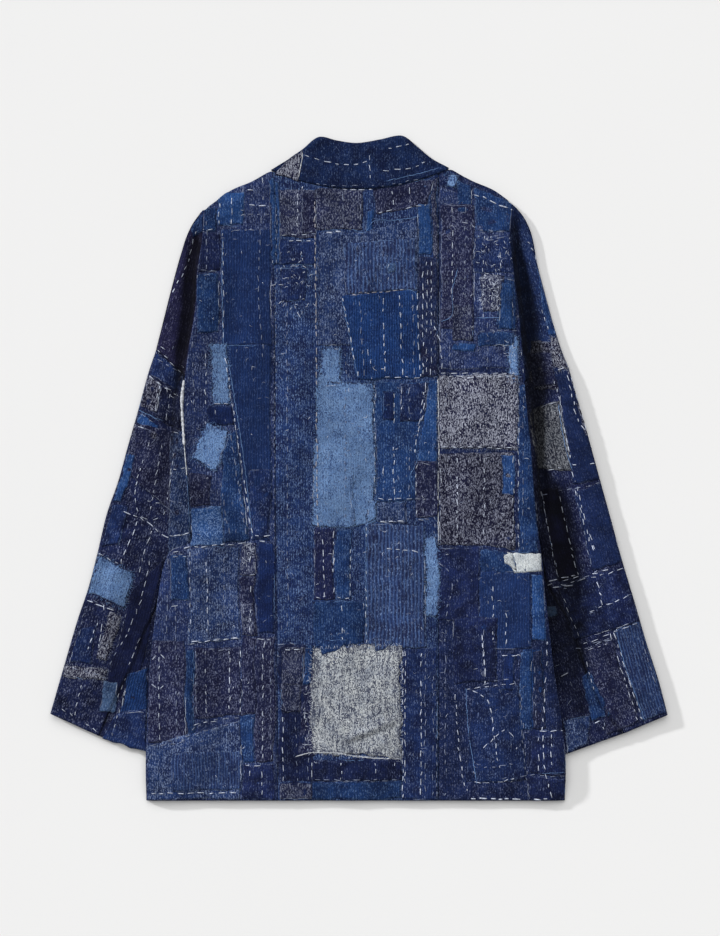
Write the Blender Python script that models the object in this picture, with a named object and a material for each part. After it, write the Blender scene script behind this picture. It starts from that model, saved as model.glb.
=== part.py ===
"""Patched boro jacket, laid flat on its front with the back uppermost.

The jacket lies on the plane z = 0 with its neck towards +Y and the wearer's left at -X. Every piece of cloth
is a wall of one thickness. The body is two layers, fronts below and back above, and each sleeve is a flattened
tube. Plan sizes in the tables are centimetres from the middle of the hem, heights are millimetres, and point()
turns both into metres about the middle of the whole garment.
"""
import math
from collections import namedtuple

import bmesh
import bpy
from mathutils import Vector

CM = 0.01
MM = 0.001

# Driving sizes, in centimetres across the plan.
NECK_SEAM_Y = 76.55      # middle of the neck seam, above the hem
NECK_HALF = 11.0         # half of the neck seam's width
NECK_RISE = 2.35         # how far the neck seam climbs to its ends
BAND_WIDTH = 5.5         # collar band down each front
BAND_BREAK_Y = 52.0      # below this the front band runs straight down
UNDERARM_Y = 32.4        # where the armhole ends and the side seam starts
GARMENT_MIDDLE = (0.125, 41.62)

# Heights, in millimetres.
WALL = 2.4               # quilted boro cloth
BAND_WALL = 3.0          # folded collar band
PATCH_WALL = 1.0
SEAM = 0.3               # clear gap wherever two pieces meet
HALF_SEAM = 0.5 * SEAM * MM / CM  # each piece's share of that gap, in plan centimetres
CLOSED = 0.3             # gap between the layers at a sewn or folded edge
SLACK = 3.2              # gap between the layers near the sides and in the sleeves
CENTRE_SLACK = 1.9       # the same in the middle of the back
SLEEVE_THICK = 2 * WALL + SLACK
OVER_SLEEVE = SLEEVE_THICK + SEAM + 0.25
FOLD_LIFT = 7.2          # how far the fold beside each armhole stands up
OUTER_LIFT = 2.2         # how far the sleeves' outer folds rise off the ground

Station = namedtuple("Station", "y x")
Spot = namedtuple("Spot", "x y")
Fold = namedtuple("Fold", "x0 y0 x1 y1 width height")
Patch = namedtuple("Patch", "name panel slot corners")
Side = namedtuple("Side", "sign edge top drop sleeve_outer sleeve_seam sleeve_inner corner_y strip")

# Each side's outlines, all with x counted away from the centre back.
LEFT = Side(
    sign=-1,
    # The body's own side: side seam, underarm, armhole seam, then the fold over the shoulder.
    edge=[
        Station(0.0, 26.5), Station(6.0, 26.5), Station(12.0, 26.25), Station(17.0, 26.0),
        Station(22.5, 25.4), Station(27.0, 24.75), Station(29.3, 23.6), Station(31.0, 22.0),
        Station(32.4, 20.9), Station(35.0, 21.0), Station(39.9, 21.25), Station(46.25, 21.75),
        Station(50.4, 21.9), Station(53.1, 21.6), Station(56.6, 21.1), Station(62.0, 20.25),
        Station(65.75, 20.1), Station(70.75, 19.4), Station(73.9, 19.3),
    ],
    # The shoulder line from the neck outwards: x first met at the neck.
    top=[Spot(10.6, 78.75), Spot(13.1, 77.6), Spot(16.4, 76.25), Spot(18.25, 74.75), Spot(19.3, 73.9)],
    # The outer fold of the dropped shoulder, from the sleeve seam up.
    drop=[
        Spot(25.25, 56.5), Spot(24.4, 59.9), Spot(23.5, 63.5), Spot(22.1, 68.6),
        Spot(21.4, 70.75), Spot(20.75, 72.1), Spot(19.7, 73.6),
    ],
    sleeve_outer=[
        Spot(25.25, 56.5), Spot(26.25, 53.5), Spot(27.4, 49.25), Spot(28.9, 44.0), Spot(30.0, 40.0),
        Spot(31.4, 36.0), Spot(32.6, 31.0), Spot(33.75, 26.6), Spot(35.0, 22.9), Spot(36.6, 17.5),
        Spot(38.5, 10.9),
    ],
    sleeve_seam=[
        Spot(20.9, 32.4), Spot(24.0, 29.6), Spot(25.25, 24.25), Spot(26.9, 20.75), Spot(28.25, 16.9),
        Spot(29.75, 14.1), Spot(32.4, 8.1),
    ],
    sleeve_inner=[Spot(20.6, 32.2), Spot(22.9, 27.5), Spot(23.0, 20.0), Spot(22.6, 12.0), Spot(22.0, 4.7)],
    corner_y=53.1,
    # How far the folded start of the sleeve reaches out over the rest of the sleeve.
    strip=[Station(32.0, 2.9), Station(37.5, 2.3), Station(47.25, 0.75), Station(53.1, 0.0), Station(74.0, 0.0)],
)
RIGHT = Side(
    sign=1,
    edge=[
        Station(0.0, 25.9), Station(6.0, 25.9), Station(10.5, 25.4), Station(17.1, 24.4),
        Station(22.5, 23.8), Station(27.0, 23.3), Station(29.3, 23.1), Station(31.0, 22.9),
        Station(32.4, 22.7), Station(35.0, 22.4), Station(38.9, 22.0), Station(44.4, 21.6),
        Station(47.6, 21.25), Station(52.5, 20.8), Station(55.4, 20.5), Station(63.25, 19.75),
        Station(66.1, 19.4), Station(70.0, 19.0), Station(74.6, 19.3),
    ],
    top=[Spot(10.1, 78.53), Spot(11.4, 79.0), Spot(14.6, 77.5), Spot(17.5, 76.25), Spot(19.3, 74.7)],
    drop=[
        Spot(26.4, 54.1), Spot(25.75, 55.6), Spot(24.6, 59.1), Spot(23.6, 62.75), Spot(22.5, 66.9),
        Spot(21.4, 71.75), Spot(20.6, 73.25), Spot(19.8, 74.2),
    ],
    sleeve_outer=[
        Spot(26.4, 54.1), Spot(27.25, 51.0), Spot(28.25, 47.6), Spot(28.9, 45.25), Spot(30.4, 39.75),
        Spot(31.6, 35.4), Spot(33.0, 30.25), Spot(34.6, 24.9), Spot(36.1, 19.75), Spot(37.6, 15.1),
        Spot(38.75, 10.75),
    ],
    sleeve_seam=[
        Spot(22.7, 32.4), Spot(23.75, 27.0), Spot(26.6, 22.1), Spot(28.25, 17.1), Spot(30.6, 11.6),
        Spot(33.2, 8.4),
    ],
    sleeve_inner=[Spot(22.4, 32.2), Spot(22.2, 27.5), Spot(22.0, 20.0), Spot(21.6, 12.0), Spot(21.2, 4.1)],
    corner_y=52.5,
    strip=[Station(32.0, 0.3), Station(52.5, 0.3), Station(74.0, 0.0)],
)

# The vertical seams between the three back panels, and the outer edge of the front bands.
BACK_SEAM = {-1: [Station(0.0, 10.0), Station(79.0, 10.6)], 1: [Station(0.0, 10.1), Station(79.0, 10.1)]}
BAND_SEAM = [Station(0.0, 5.5), Station(BAND_BREAK_Y, 5.5), Station(66.0, 7.4), Station(79.0, 10.6)]

# The collar's upper outline, one spot for each column: up the left fold, over the dip, down the right fold.
COLLAR_TOP = [
    Spot(-11.0, 79.15), Spot(-8.9, 80.5), Spot(-7.0, 81.6), Spot(-4.9, 83.1), Spot(-2.6, 82.65), Spot(-0.1, 82.35),
    Spot(2.8, 82.8), Spot(5.5, 83.25), Spot(7.4, 81.9), Spot(8.9, 80.6), Spot(11.4, 79.4),
]
COLLAR_ENDS = (-10.9, 11.3)
COLLAR_AT_SEAM = 7.0     # height of the band's upper side at the neck seam, in millimetres
COLLAR_AT_TOP = 4.2      # and at its folded top edge
COLLAR_ROWS = [0.0, 0.2, 0.5, 0.8, 1.0]

# Where the rows and columns of each cloth grid lie.
BODY_ROWS = [0.0, 1.6, 4.0, 6.5, 9.5, 13.5, 18.0, 22.5, 26.0, 28.2, 29.8, 31.2, 32.4, 33.6, 35.4, 38.5, 43.0, 48.0]
UPPER_ROWS = [0.0, 0.22, 0.45, 0.67, 0.86, 1.0]
SIDE_COLUMNS = [0.0, 0.2, 0.38, 0.54, 0.68, 0.79, 0.88, 0.95, 1.0]
CENTRE_COLUMNS = [0.0, 0.1, 0.22, 0.35, 0.5, 0.65, 0.78, 0.9, 1.0]
DROP_COLUMNS = [0.0, 0.2, 0.38, 0.7, 0.9, 1.0]
SLEEVE_COLUMNS = [0.0, 0.06, 0.14, 0.25, 0.4, 0.55, 0.7, 0.85, 1.0]
UNDER_COLUMNS = [0.0, 0.45, 1.0]
SLEEVE_ROWS = [0.0, 0.018, 0.04, 0.07, 0.11, 0.17, 0.25, 0.35, 0.46, 0.58, 0.7, 0.82, 0.92, 1.0]
EDGE_STEPS = 4
OPEN_TOP = 90.0          # a shoulder line out of reach, where the neck seam takes its place
CORNER_SHARE = 0.25      # part of the armhole that runs across the top of the arm

# Largest folds of the back, as soft ridges (height above 0) and troughs (below 0) along a line.
BACK_FOLDS = [
    Fold(-22.0, 32.6, -13.0, 32.6, 0.9, -1.6),
    Fold(-8.5, 60.0, -8.0, 22.0, 1.6, 0.7),
    Fold(-3.5, 30.0, -2.0, 3.0, 1.8, 0.6),
    Fold(3.5, 48.0, 5.5, 14.0, 1.7, 0.7),
    Fold(-15.0, 24.0, -13.5, 2.0, 1.8, 0.9),
    Fold(13.5, 40.0, 15.5, 6.0, 1.8, 0.9),
    Fold(-14.5, 70.0, -13.0, 44.0, 1.7, 0.7),
    Fold(14.0, 70.0, 13.0, 48.0, 1.6, 0.7),
    Fold(-1.0, 7.2, 4.5, 9.2, 0.9, -0.9),
]
# Largest folds of the sleeves, with x away from the centre back, shared by both.
SLEEVE_FOLDS = [
    Fold(25.5, 50.0, 30.5, 26.0, 1.3, 0.9),
    Fold(29.0, 34.0, 34.0, 14.0, 1.4, 0.9),
    Fold(24.5, 44.0, 27.5, 30.0, 1.1, -0.9),
    Fold(30.5, 24.0, 33.0, 10.0, 1.1, -0.8),
]

# The cloth's colours (linear RGB), one for each material slot.
SLOT_COLOURS = {
    "indigo_body": (0.018, 0.035, 0.115),
    "indigo_sleeve": (0.015, 0.028, 0.090),
    "indigo_collar": (0.018, 0.038, 0.110),
    "patch_blue": (0.022, 0.080, 0.250),
    "patch_pale": (0.120, 0.270, 0.520),
    "patch_white": (0.480, 0.540, 0.560),
    "patch_dark": (0.024, 0.022, 0.045),
    "patch_melange": (0.045, 0.085, 0.190),
}
CLOTH_ROUGHNESS = 0.9

# Patches laid on the panels, clockwise from the upper left corner, in plan centimetres.
PATCHES = [
    Patch("patch_pale_centre", "back_centre", "patch_pale", [(-5.1, 52.4), (2.0, 52.4), (2.5, 34.3), (-5.9, 34.3)]),
    Patch("patch_white_hem", "back_centre", "patch_white", [(-5.7, 19.2), (5.4, 19.2), (5.4, 5.3), (-6.1, 5.5)]),
    Patch("patch_plain_blue", "back_centre", "patch_blue", [(-2.2, 63.2), (7.5, 63.8), (8.0, 52.8), (-0.1, 52.8)]),
    Patch("patch_ribbed_pale", "back_centre", "patch_melange", [(-1.2, 69.4), (7.5, 69.4), (7.5, 64.1), (-1.2, 63.6)]),
    Patch("patch_deep_blue", "back_centre", "patch_blue", [(2.4, 52.4), (8.6, 52.4), (8.6, 37.6), (2.8, 37.6)]),
    Patch("patch_ribbed_blue", "back_centre", "patch_melange", [(0.9, 34.0), (8.4, 34.0), (8.4, 19.6), (0.9, 19.6)]),
    Patch("patch_brown_small", "back_centre", "patch_dark", [(-5.5, 34.0), (-3.0, 34.0), (-3.0, 25.1), (-5.5, 25.1)]),
    Patch("patch_brown_neck", "back_centre", "patch_dark", [(1.8, 76.2), (9.6, 76.8), (8.0, 74.4), (2.3, 73.4)]),
    Patch("patch_brown_top", "back_centre", "patch_dark", [(-9.8, 76.2), (-5.3, 76.0), (-5.3, 70.7), (-9.8, 70.7)]),
    Patch("patch_navy_long", "back_left", "patch_melange", [(-17.1, 71.4), (-10.9, 71.4), (-10.6, 32.9), (-13.2, 32.9)]),
    Patch("patch_pale_high", "back_left", "patch_pale", [(-18.4, 57.1), (-16.2, 57.1), (-16.1, 49.4), (-18.2, 49.4)]),
    Patch("patch_pale_low", "back_left", "patch_pale", [(-18.4, 47.1), (-16.0, 45.6), (-17.0, 42.4), (-20.4, 42.6)]),
    Patch("patch_denim_side", "back_left", "patch_melange", [(-20.4, 31.0), (-14.8, 31.4), (-14.8, 20.1), (-21.0, 20.1)]),
    Patch("patch_brown_side", "back_left", "patch_dark", [(-20.4, 19.2), (-14.6, 19.2), (-14.6, 10.8), (-20.4, 10.8)]),
    Patch("patch_denim_hem", "back_left", "patch_melange", [(-25.6, 7.4), (-14.6, 8.6), (-14.6, 0.5), (-25.6, 0.5)]),
    Patch("patch_speckle_high", "back_right", "patch_dark", [(10.5, 53.2), (19.6, 53.2), (19.6, 44.0), (10.5, 44.0)]),
    Patch("patch_speckle_low", "back_right", "patch_dark", [(10.5, 43.6), (19.4, 43.6), (19.4, 31.6), (10.5, 31.6)]),
    Patch("patch_white_torn", "back_right", "patch_white", [(18.9, 31.0), (22.4, 30.8), (22.4, 28.7), (19.6, 28.7)]),
    Patch("patch_melange_side", "back_right", "patch_melange", [(15.2, 28.4), (21.6, 28.4), (21.6, 19.0), (15.2, 19.0)]),
    Patch("patch_blue_pocket", "back_right", "patch_blue", [(12.2, 13.6), (20.4, 14.3), (21.0, 2.9), (14.0, 1.6)]),
    Patch("patch_pale_sleeve", "sleeve_left", "patch_pale", [(-32.0, 30.5), (-27.9, 28.5), (-29.0, 23.9), (-33.0, 26.1)]),
    Patch("patch_melange_sleeve", "sleeve_right", "patch_melange", [(31.6, 21.4), (35.0, 20.4), (36.6, 12.6), (33.8, 12.0)]),
]


def remove_everything():
    for existing in list(bpy.data.objects):
        bpy.data.objects.remove(existing, do_unlink=True)


def point(x, y, z):
    """A plan position in centimetres and a height in millimetres, as metres about the garment's middle."""
    middle_x, middle_y = GARMENT_MIDDLE
    return Vector(((x - middle_x) * CM, (y - middle_y) * CM, z * MM))


def mix(a, b, share):
    return a + (b - a) * share


def smooth(value, start, end):
    """0 before start, 1 after end, with an S-shaped ramp between."""
    share = min(max((value - start) / (end - start), 0.0), 1.0)
    return share * share * (3.0 - 2.0 * share)


def across(stations, y):
    """The x that a table of stations gives at this y."""
    for low, high in zip(stations, stations[1:]):
        if y <= high.y:
            return mix(low.x, high.x, (y - low.y) / (high.y - low.y))
    return stations[-1].x


def along(spots, share):
    """The place that lies this share of the way along a line of spots."""
    lengths = [math.dist(a, b) for a, b in zip(spots, spots[1:])]
    target = share * sum(lengths)
    for a, b, length in zip(spots, spots[1:], lengths):
        if target <= length:
            return Spot(mix(a.x, b.x, target / length), mix(a.y, b.y, target / length))
        target -= length
    return spots[-1]


def fold_height(folds, x, y):
    """The sum of the soft ridges and troughs at a place."""
    total = 0.0
    for fold in folds:
        run = Vector((fold.x1 - fold.x0, fold.y1 - fold.y0))
        away = Vector((x - fold.x0, y - fold.y0))
        share = away.dot(run) / run.length_squared
        nearest = min(max(share, 0.0), 1.0)
        distance = (away - run * nearest).length
        total += fold.height * math.exp(-((distance / fold.width) ** 2))
    return total


# ---------------------------------------------------------------- heights

def fold_window(y):
    """1 along the armhole and shoulder, falling to 0 at the underarm."""
    return smooth(y, 33.0, 39.0) * mix(1.0, 0.35, smooth(y, 66.0, 74.0))


def body_lift(side, x, y):
    """How far the fronts are held off the ground: by the sleeve beneath, or by the fold at the armhole."""
    inwards = across(side.edge, y) - abs(x)
    sleeve_depth = across(side.edge, y) - across(inner_stations(side), y)
    plateau = 1.0 - smooth(inwards, sleeve_depth + 1.0, sleeve_depth + 6.5)
    beside_cuff = smooth(y, 0.0, 3.0) * (1.0 - smooth(y, 32.0, 34.6))
    ridge = (1.0 - smooth(inwards, 0.0, 5.5)) * fold_window(y)
    return OVER_SLEEVE * plateau * beside_cuff + FOLD_LIFT * ridge


def inner_stations(side):
    """The sleeve's hidden inner edge, as stations by y."""
    return [Station(spot.y, spot.x) for spot in sorted(side.sleeve_inner, key=lambda spot: spot.y)]


def body_slack(side, x, y, top_y):
    """The gap between the body's two layers: closed at sewn edges, wider near the sides."""
    inwards = across(side.edge, y) - abs(x)
    slack = mix(SLACK, CENTRE_SLACK, smooth(inwards, 1.0, 8.0)) + fold_height(BACK_FOLDS, x, y)
    side_seam = smooth(inwards, 0.0, 1.2) + smooth(y, 31.0, 34.0)
    shoulder = smooth(top_y - y, 0.0, 2.0)
    return max(mix(CLOSED, slack, min(side_seam, 1.0) * shoulder), CLOSED)


def arm_lift(side, x, y):
    """How far the under layer of the dropped shoulder and sleeve is held off the ground."""
    edge = across(side.edge, y) if y > 32.4 else across(side.edge, 32.4)
    outwards = abs(x) - edge - across(side.strip, y)
    return FOLD_LIFT * fold_window(y) * (1.0 - smooth(outwards, 0.0, 0.9))


def arm_slack(side, x, y):
    return min(SLACK + 0.5 * fold_height(SLEEVE_FOLDS, abs(x), y), SLACK)


# ---------------------------------------------------------------- building

def cloth_material(name, slot):
    material = bpy.data.materials.new(name)
    material.use_nodes = True
    shader = material.node_tree.nodes["Principled BSDF"]
    shader.inputs["Base Color"].default_value = (*SLOT_COLOURS[slot], 1.0)
    shader.inputs["Roughness"].default_value = CLOTH_ROUGHNESS
    shader.inputs["Metallic"].default_value = 0.0
    material.diffuse_color = (*SLOT_COLOURS[slot], 1.0)
    return material


def add_object(name, mesh_builder, slot, collection):
    mesh = bpy.data.meshes.new(name)
    bmesh.ops.recalc_face_normals(mesh_builder, faces=mesh_builder.faces[:])
    mesh_builder.to_mesh(mesh)
    mesh_builder.free()
    mesh.shade_smooth()
    mesh.set_sharp_from_angle(angle=math.radians(40.0))
    mesh.materials.append(cloth_material(f"{name}_cloth", slot))
    made = bpy.data.objects.new(name, mesh)
    collection.objects.link(made)
    return made


def shell(name, outer, inner, slot, collection):
    """A closed cloth wall between two grids of points of the same layout."""
    builder = bmesh.new()
    skins = [[[builder.verts.new(place) for place in row] for row in grid] for grid in (outer, inner)]
    rows = len(outer)
    columns = len(outer[0])
    for skin in skins:
        for r in range(rows - 1):
            for c in range(columns - 1):
                a, b, d, e = skin[r][c], skin[r][c + 1], skin[r + 1][c + 1], skin[r + 1][c]
                builder.faces.new((a, b, d))
                builder.faces.new((a, d, e))
    rim = [(0, c) for c in range(columns)]
    rim += [(r, columns - 1) for r in range(1, rows)]
    rim += [(rows - 1, c) for c in range(columns - 2, -1, -1)]
    rim += [(r, 0) for r in range(rows - 2, 0, -1)]
    for (r0, c0), (r1, c1) in zip(rim, rim[1:] + rim[:1]):
        a, b = skins[0][r0][c0], skins[0][r1][c1]
        d, e = skins[1][r1][c1], skins[1][r0][c0]
        builder.faces.new((a, b, d))
        builder.faces.new((a, d, e))
    return add_object(name, builder, slot, collection)


def layered(plan, height, wall=WALL):
    """Two grids from one plan: its upper skin at the given height, and the lower one a wall below."""
    upper = [[point(x, y, height(x, y)) for x, y in row] for row in plan]
    lower = [[point(x, y, height(x, y) - wall) for x, y in row] for row in plan]
    return upper, lower


# ---------------------------------------------------------------- body

def side_plan(side, start_x):
    """Rows of plan places from a seam out to the side edge, up to the shoulder line."""
    side_top = side.edge[-1].y
    levels = BODY_ROWS + [mix(side.corner_y, side_top, share) for share in UPPER_ROWS]
    plan = []
    for level in levels:
        row = []
        for share in SIDE_COLUMNS:
            top = along(side.top, share)
            y = level * mix(top.y, side_top, smooth(share, 0.93, 1.0)) / side_top
            outer = across(side.edge, y) - (HALF_SEAM if meets_sleeve(side, y) else 0.0)
            row.append((side.sign * mix(start_x(y), outer, share), y))
        plan.append(row)
    return plan


def meets_sleeve(side, y):
    """True where the body meets the sleeve along the armhole seam."""
    return UNDERARM_Y - 0.4 < y < side.corner_y + 0.01


def shoulder_y(side, x):
    spots = side.top
    for a, b in zip(spots, spots[1:]):
        if abs(x) <= b.x:
            return mix(a.y, b.y, max(abs(x) - a.x, 0.0) / (b.x - a.x))
    return spots[-1].y


def back_height(side, x, y, top_y):
    return body_lift(side, x, y) + 2 * WALL + body_slack(side, x, y, top_y)


def front_height(side, x, y):
    return body_lift(side, x, y) + WALL


def drop_plan(side):
    """The dropped shoulder beyond the fold: rows from the sleeve seam up, columns from the fold outwards."""
    side_top = side.edge[-1].y
    plan = []
    for share in UPPER_ROWS:
        fold_y = mix(side.corner_y, side_top, share)
        fold_x = across(side.edge, fold_y)
        outer = along(side.drop, share)
        lift = HALF_SEAM if share == 0.0 else 0.0
        row = []
        for column in DROP_COLUMNS:
            x = mix(fold_x, outer.x, column)
            row.append((side.sign * x, mix(fold_y, outer.y, column) + lift))
        plan.append(row)
    return plan


def drop_height(side, share_in_row, x, y):
    """Upper surface of the dropped shoulder: steep flank, valley, soft crest and sewn outer fold."""
    slack = mix(SLACK, 1.6, smooth(share_in_row, 0.0, 0.2)) if share_in_row < 0.3 else SLACK
    slack = mix(slack, CLOSED, smooth(share_in_row, 0.7, 1.0))
    return arm_lift(side, x, y) + 2 * WALL + slack


def panel_with_drop(name, side, start_x, body_height, drop_surface, slot, collection):
    """A side panel whose cloth runs on, past the fold beside the arm, to the sleeve seam."""
    body_plan = side_plan(side, start_x)
    arm_plan = drop_plan(side)
    builder = bmesh.new()
    grids = []
    for plan, height in ((body_plan, body_height), (arm_plan, drop_surface)):
        heights = [[height(r, c, x, y) for c, (x, y) in enumerate(row)] for r, row in enumerate(plan)]
        grids.append((plan, heights))
    # Both grids share the fold, so the fold's height is the body's own.
    join_row = len(BODY_ROWS)
    for r in range(len(UPPER_ROWS)):
        grids[1][0][r][0] = grids[0][0][join_row + r][-1]
        grids[1][1][r][0] = grids[0][1][join_row + r][-1]
    surface = open_surface(grids)
    close_wall(builder, surface, WALL)
    return add_object(name, builder, slot, collection), surface


def open_surface(grids):
    """Places and triangles of welded grids, each place as (x, y, height)."""
    places, index, triangles = [], {}, []
    for plan, heights in grids:
        ids = []
        for row, levels in zip(plan, heights):
            line = []
            for (x, y), level in zip(row, levels):
                key = (round(x, 5), round(y, 5))
                if key not in index:
                    index[key] = len(places)
                    places.append((x, y, level))
                line.append(index[key])
            ids.append(line)
        for low, high in zip(ids, ids[1:]):
            for c in range(len(low) - 1):
                triangles.append((low[c], low[c + 1], high[c + 1]))
                triangles.append((low[c], high[c + 1], high[c]))
    return places, triangles


def close_wall(builder, surface, wall):
    """A closed wall below an open surface: both skins, and a strip along every free edge."""
    places, triangles = surface
    upper = [builder.verts.new(point(x, y, z)) for x, y, z in places]
    lower = [builder.verts.new(point(x, y, z - wall)) for x, y, z in places]
    edges = {}
    for triangle in triangles:
        builder.faces.new([upper[i] for i in triangle])
        builder.faces.new([lower[i] for i in reversed(triangle)])
        for a, b in zip(triangle, triangle[1:] + triangle[:1]):
            edges[(a, b)] = True
    for a, b in edges:
        if (b, a) not in edges:
            builder.faces.new((upper[b], upper[a], lower[a]))
            builder.faces.new((upper[b], lower[a], lower[b]))


def build_back_side(name, side, collection):
    def seam_x(y):
        return across(BACK_SEAM[side.sign], y) + HALF_SEAM

    def body(_r, _c, x, y):
        return back_height(side, x, y, shoulder_y(side, x))

    def drop(_r, c, x, y):
        return drop_height(side, DROP_COLUMNS[c], x, y)

    return panel_with_drop(name, side, seam_x, body, drop, "indigo_body", collection)


def build_front(name, side, collection):
    def seam_x(y):
        return across(BAND_SEAM, y) + HALF_SEAM

    def body(_r, _c, x, y):
        return front_height(side, x, y)

    def drop(_r, _c, x, y):
        return arm_lift(side, x, y) + WALL

    return panel_with_drop(name, side, seam_x, body, drop, "indigo_body", collection)


def neck_y(x):
    return NECK_SEAM_Y + NECK_RISE * (x / NECK_HALF) ** 2


def side_of(x):
    return LEFT if x < 0.0 else RIGHT


def centre_columns(height_share):
    """The x of each column of the centre back at this share of its length."""
    y = BACK_SEAM[1][-1].y * height_share
    left = -across(BACK_SEAM[-1], y) + HALF_SEAM
    right = across(BACK_SEAM[1], y) - HALF_SEAM
    return [mix(left, right, share) for share in CENTRE_COLUMNS]


def build_back_centre(collection):
    side_top = LEFT.edge[-1].y
    levels = BODY_ROWS + [mix(LEFT.corner_y, side_top, share) for share in UPPER_ROWS]
    plan = []
    for level in levels:
        share = level / side_top
        plan.append([(x, share * (neck_y(x) - HALF_SEAM)) for x in centre_columns(share)])
    heights = [[back_height(side_of(x), x, y, OPEN_TOP) for x, y in row] for row in plan]
    surface = open_surface([(plan, heights)])
    builder = bmesh.new()
    close_wall(builder, surface, WALL)
    return add_object("back_centre", builder, "indigo_body", collection), surface


# ---------------------------------------------------------------- collar

def build_collar_back(collection):
    # The band shares the back's own columns along the neck seam, with one more at each end.
    columns = [COLLAR_ENDS[0]] + centre_columns(1.0) + [COLLAR_ENDS[1]]
    plan, heights = [], []
    for level in COLLAR_ROWS:
        row, line = [], []
        for seam_x, top in zip(columns, COLLAR_TOP):
            ends = (seam_x / NECK_HALF) ** 4
            row.append((mix(seam_x, top.x, level), mix(neck_y(seam_x) + HALF_SEAM, top.y, level)))
            line.append(mix(COLLAR_AT_SEAM, mix(COLLAR_AT_TOP, COLLAR_AT_SEAM, ends), smooth(level, 0.0, 1.0)))
        plan.append(row)
        heights.append(line)
    surface = open_surface([(plan, heights)])
    builder = bmesh.new()
    close_wall(builder, surface, BAND_WALL)
    return add_object("collar_back", builder, "indigo_collar", collection), surface


def build_collar_front(name, sign, collection):
    """The band down one front, on the ground below the back, from the neck's end to the hem."""
    levels = [0.0, 12.0, 24.0, 36.0, 46.0, BAND_BREAK_Y, 59.0, 66.0, 72.0, 76.5]
    plan = []
    for y in levels:
        outer = across(BAND_SEAM, y) - HALF_SEAM
        inner = max(outer - BAND_WIDTH, HALF_SEAM)
        plan.append([(sign * mix(inner, outer, share), y) for share in (0.0, 0.5, 1.0)])
    upper, lower = layered(plan, lambda x, y: BAND_WALL, BAND_WALL)
    return shell(name, upper, lower, "indigo_collar", collection)


# ---------------------------------------------------------------- sleeves

def armhole(side, share):
    """The armhole, from the outer fold across the top of the arm and down to the underarm."""
    corner = Spot(across(side.edge, side.corner_y), side.corner_y)
    start = side.sleeve_outer[0]
    if share <= CORNER_SHARE:
        part = share / CORNER_SHARE
        return Spot(mix(start.x, corner.x, part), mix(start.y, corner.y, part))
    y = mix(corner.y, side.sleeve_seam[0].y, (share - CORNER_SHARE) / (1.0 - CORNER_SHARE))
    return Spot(across(side.edge, y), y)


def sleeve_place(side, u, v):
    """A plan place on the sleeve: u from the outer fold to the back seam, v from armhole to cuff."""
    hole, outer, seam = armhole(side, u), along(side.sleeve_outer, v), along(side.sleeve_seam, v)
    cuff_outer, cuff_seam = side.sleeve_outer[-1], side.sleeve_seam[-1]
    hole_outer, hole_seam = side.sleeve_outer[0], side.sleeve_seam[0]
    spot = []
    for axis in (0, 1):
        cuff = mix(cuff_outer[axis], cuff_seam[axis], u)
        sides = mix(outer[axis], seam[axis], u)
        ends = mix(hole[axis], cuff, v)
        corners = mix(mix(hole_outer[axis], hole_seam[axis], u), mix(cuff_outer[axis], cuff_seam[axis], u), v)
        spot.append(sides + ends - corners)
    return Spot(*spot)


def tube_section(side, places, fold_away, lift_at_fold):
    """Outer and inner points of one C-shaped section: along the top, round the fold, back along the bottom."""
    radius = 0.5 * SLEEVE_THICK
    outer, inner = [], []

    def add(x, y, z, nx, ny, nz):
        outer.append(point(side.sign * x, y, z))
        inner.append(point(side.sign * (x - nx * WALL * MM / CM), y - ny * WALL * MM / CM, z - nz * WALL))

    levels = []
    for spot in places:
        nearness = 1.0 - smooth(math.dist(spot, places[-1]), 0.0, 4.0)
        lift = arm_lift(side, spot.x, spot.y) + lift_at_fold * nearness
        top = lift + 2 * WALL + arm_slack(side, spot.x, spot.y)
        levels.append((lift, mix(top, lift + SLEEVE_THICK, nearness)))
    for spot, (_lift, top) in zip(places, levels):
        add(spot.x, spot.y, top, 0.0, 0.0, 1.0)
    middle = levels[-1][0] + radius
    for step in range(1, EDGE_STEPS):
        angle = math.pi * (0.5 - step / EDGE_STEPS)
        reach = radius * MM / CM * math.cos(angle)
        x = places[-1].x + fold_away[0] * reach
        y = places[-1].y + fold_away[1] * reach
        add(x, y, middle + radius * math.sin(angle), fold_away[0] * math.cos(angle), fold_away[1] * math.cos(angle),
            math.sin(angle))
    for spot, (lift, _top) in zip(reversed(places), reversed(levels)):
        add(spot.x, spot.y, lift, 0.0, 0.0, -1.0)
    return outer, inner


def towards(start, end):
    length = math.dist(start, end)
    return ((end[0] - start[0]) / length, (end[1] - start[1]) / length)


def shifted(spot, way, distance):
    return Spot(spot.x + way[0] * distance, spot.y + way[1] * distance)


def build_sleeve(name, side, collection):
    """The main sleeve piece: from the back seam out, round the outer fold and back below."""
    fold_radius = 0.5 * SLEEVE_THICK * MM / CM
    outer_rows, inner_rows, plan, heights = [], [], [], []
    for v in SLEEVE_ROWS:
        row_shift = HALF_SEAM if v == 0.0 else 0.0
        places = [sleeve_place(side, u, v) for u in reversed(SLEEVE_COLUMNS)]
        away = towards(places[-3], places[-1])
        places = [shifted(spot, away, row_shift) for spot in places]
        places[0] = shifted(places[0], towards(places[0], places[1]), HALF_SEAM)
        places[-1] = shifted(places[-1], away, -fold_radius)
        places[-2] = shifted(places[-2], away, -0.5 * fold_radius)
        outer, inner = tube_section(side, places, away, OUTER_LIFT)
        outer_rows.append(outer)
        inner_rows.append(inner)
    surface_rows = [row[: len(SLEEVE_COLUMNS)] for row in outer_rows]
    return shell(name, outer_rows, inner_rows, "indigo_sleeve", collection), grid_surface(surface_rows)


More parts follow.
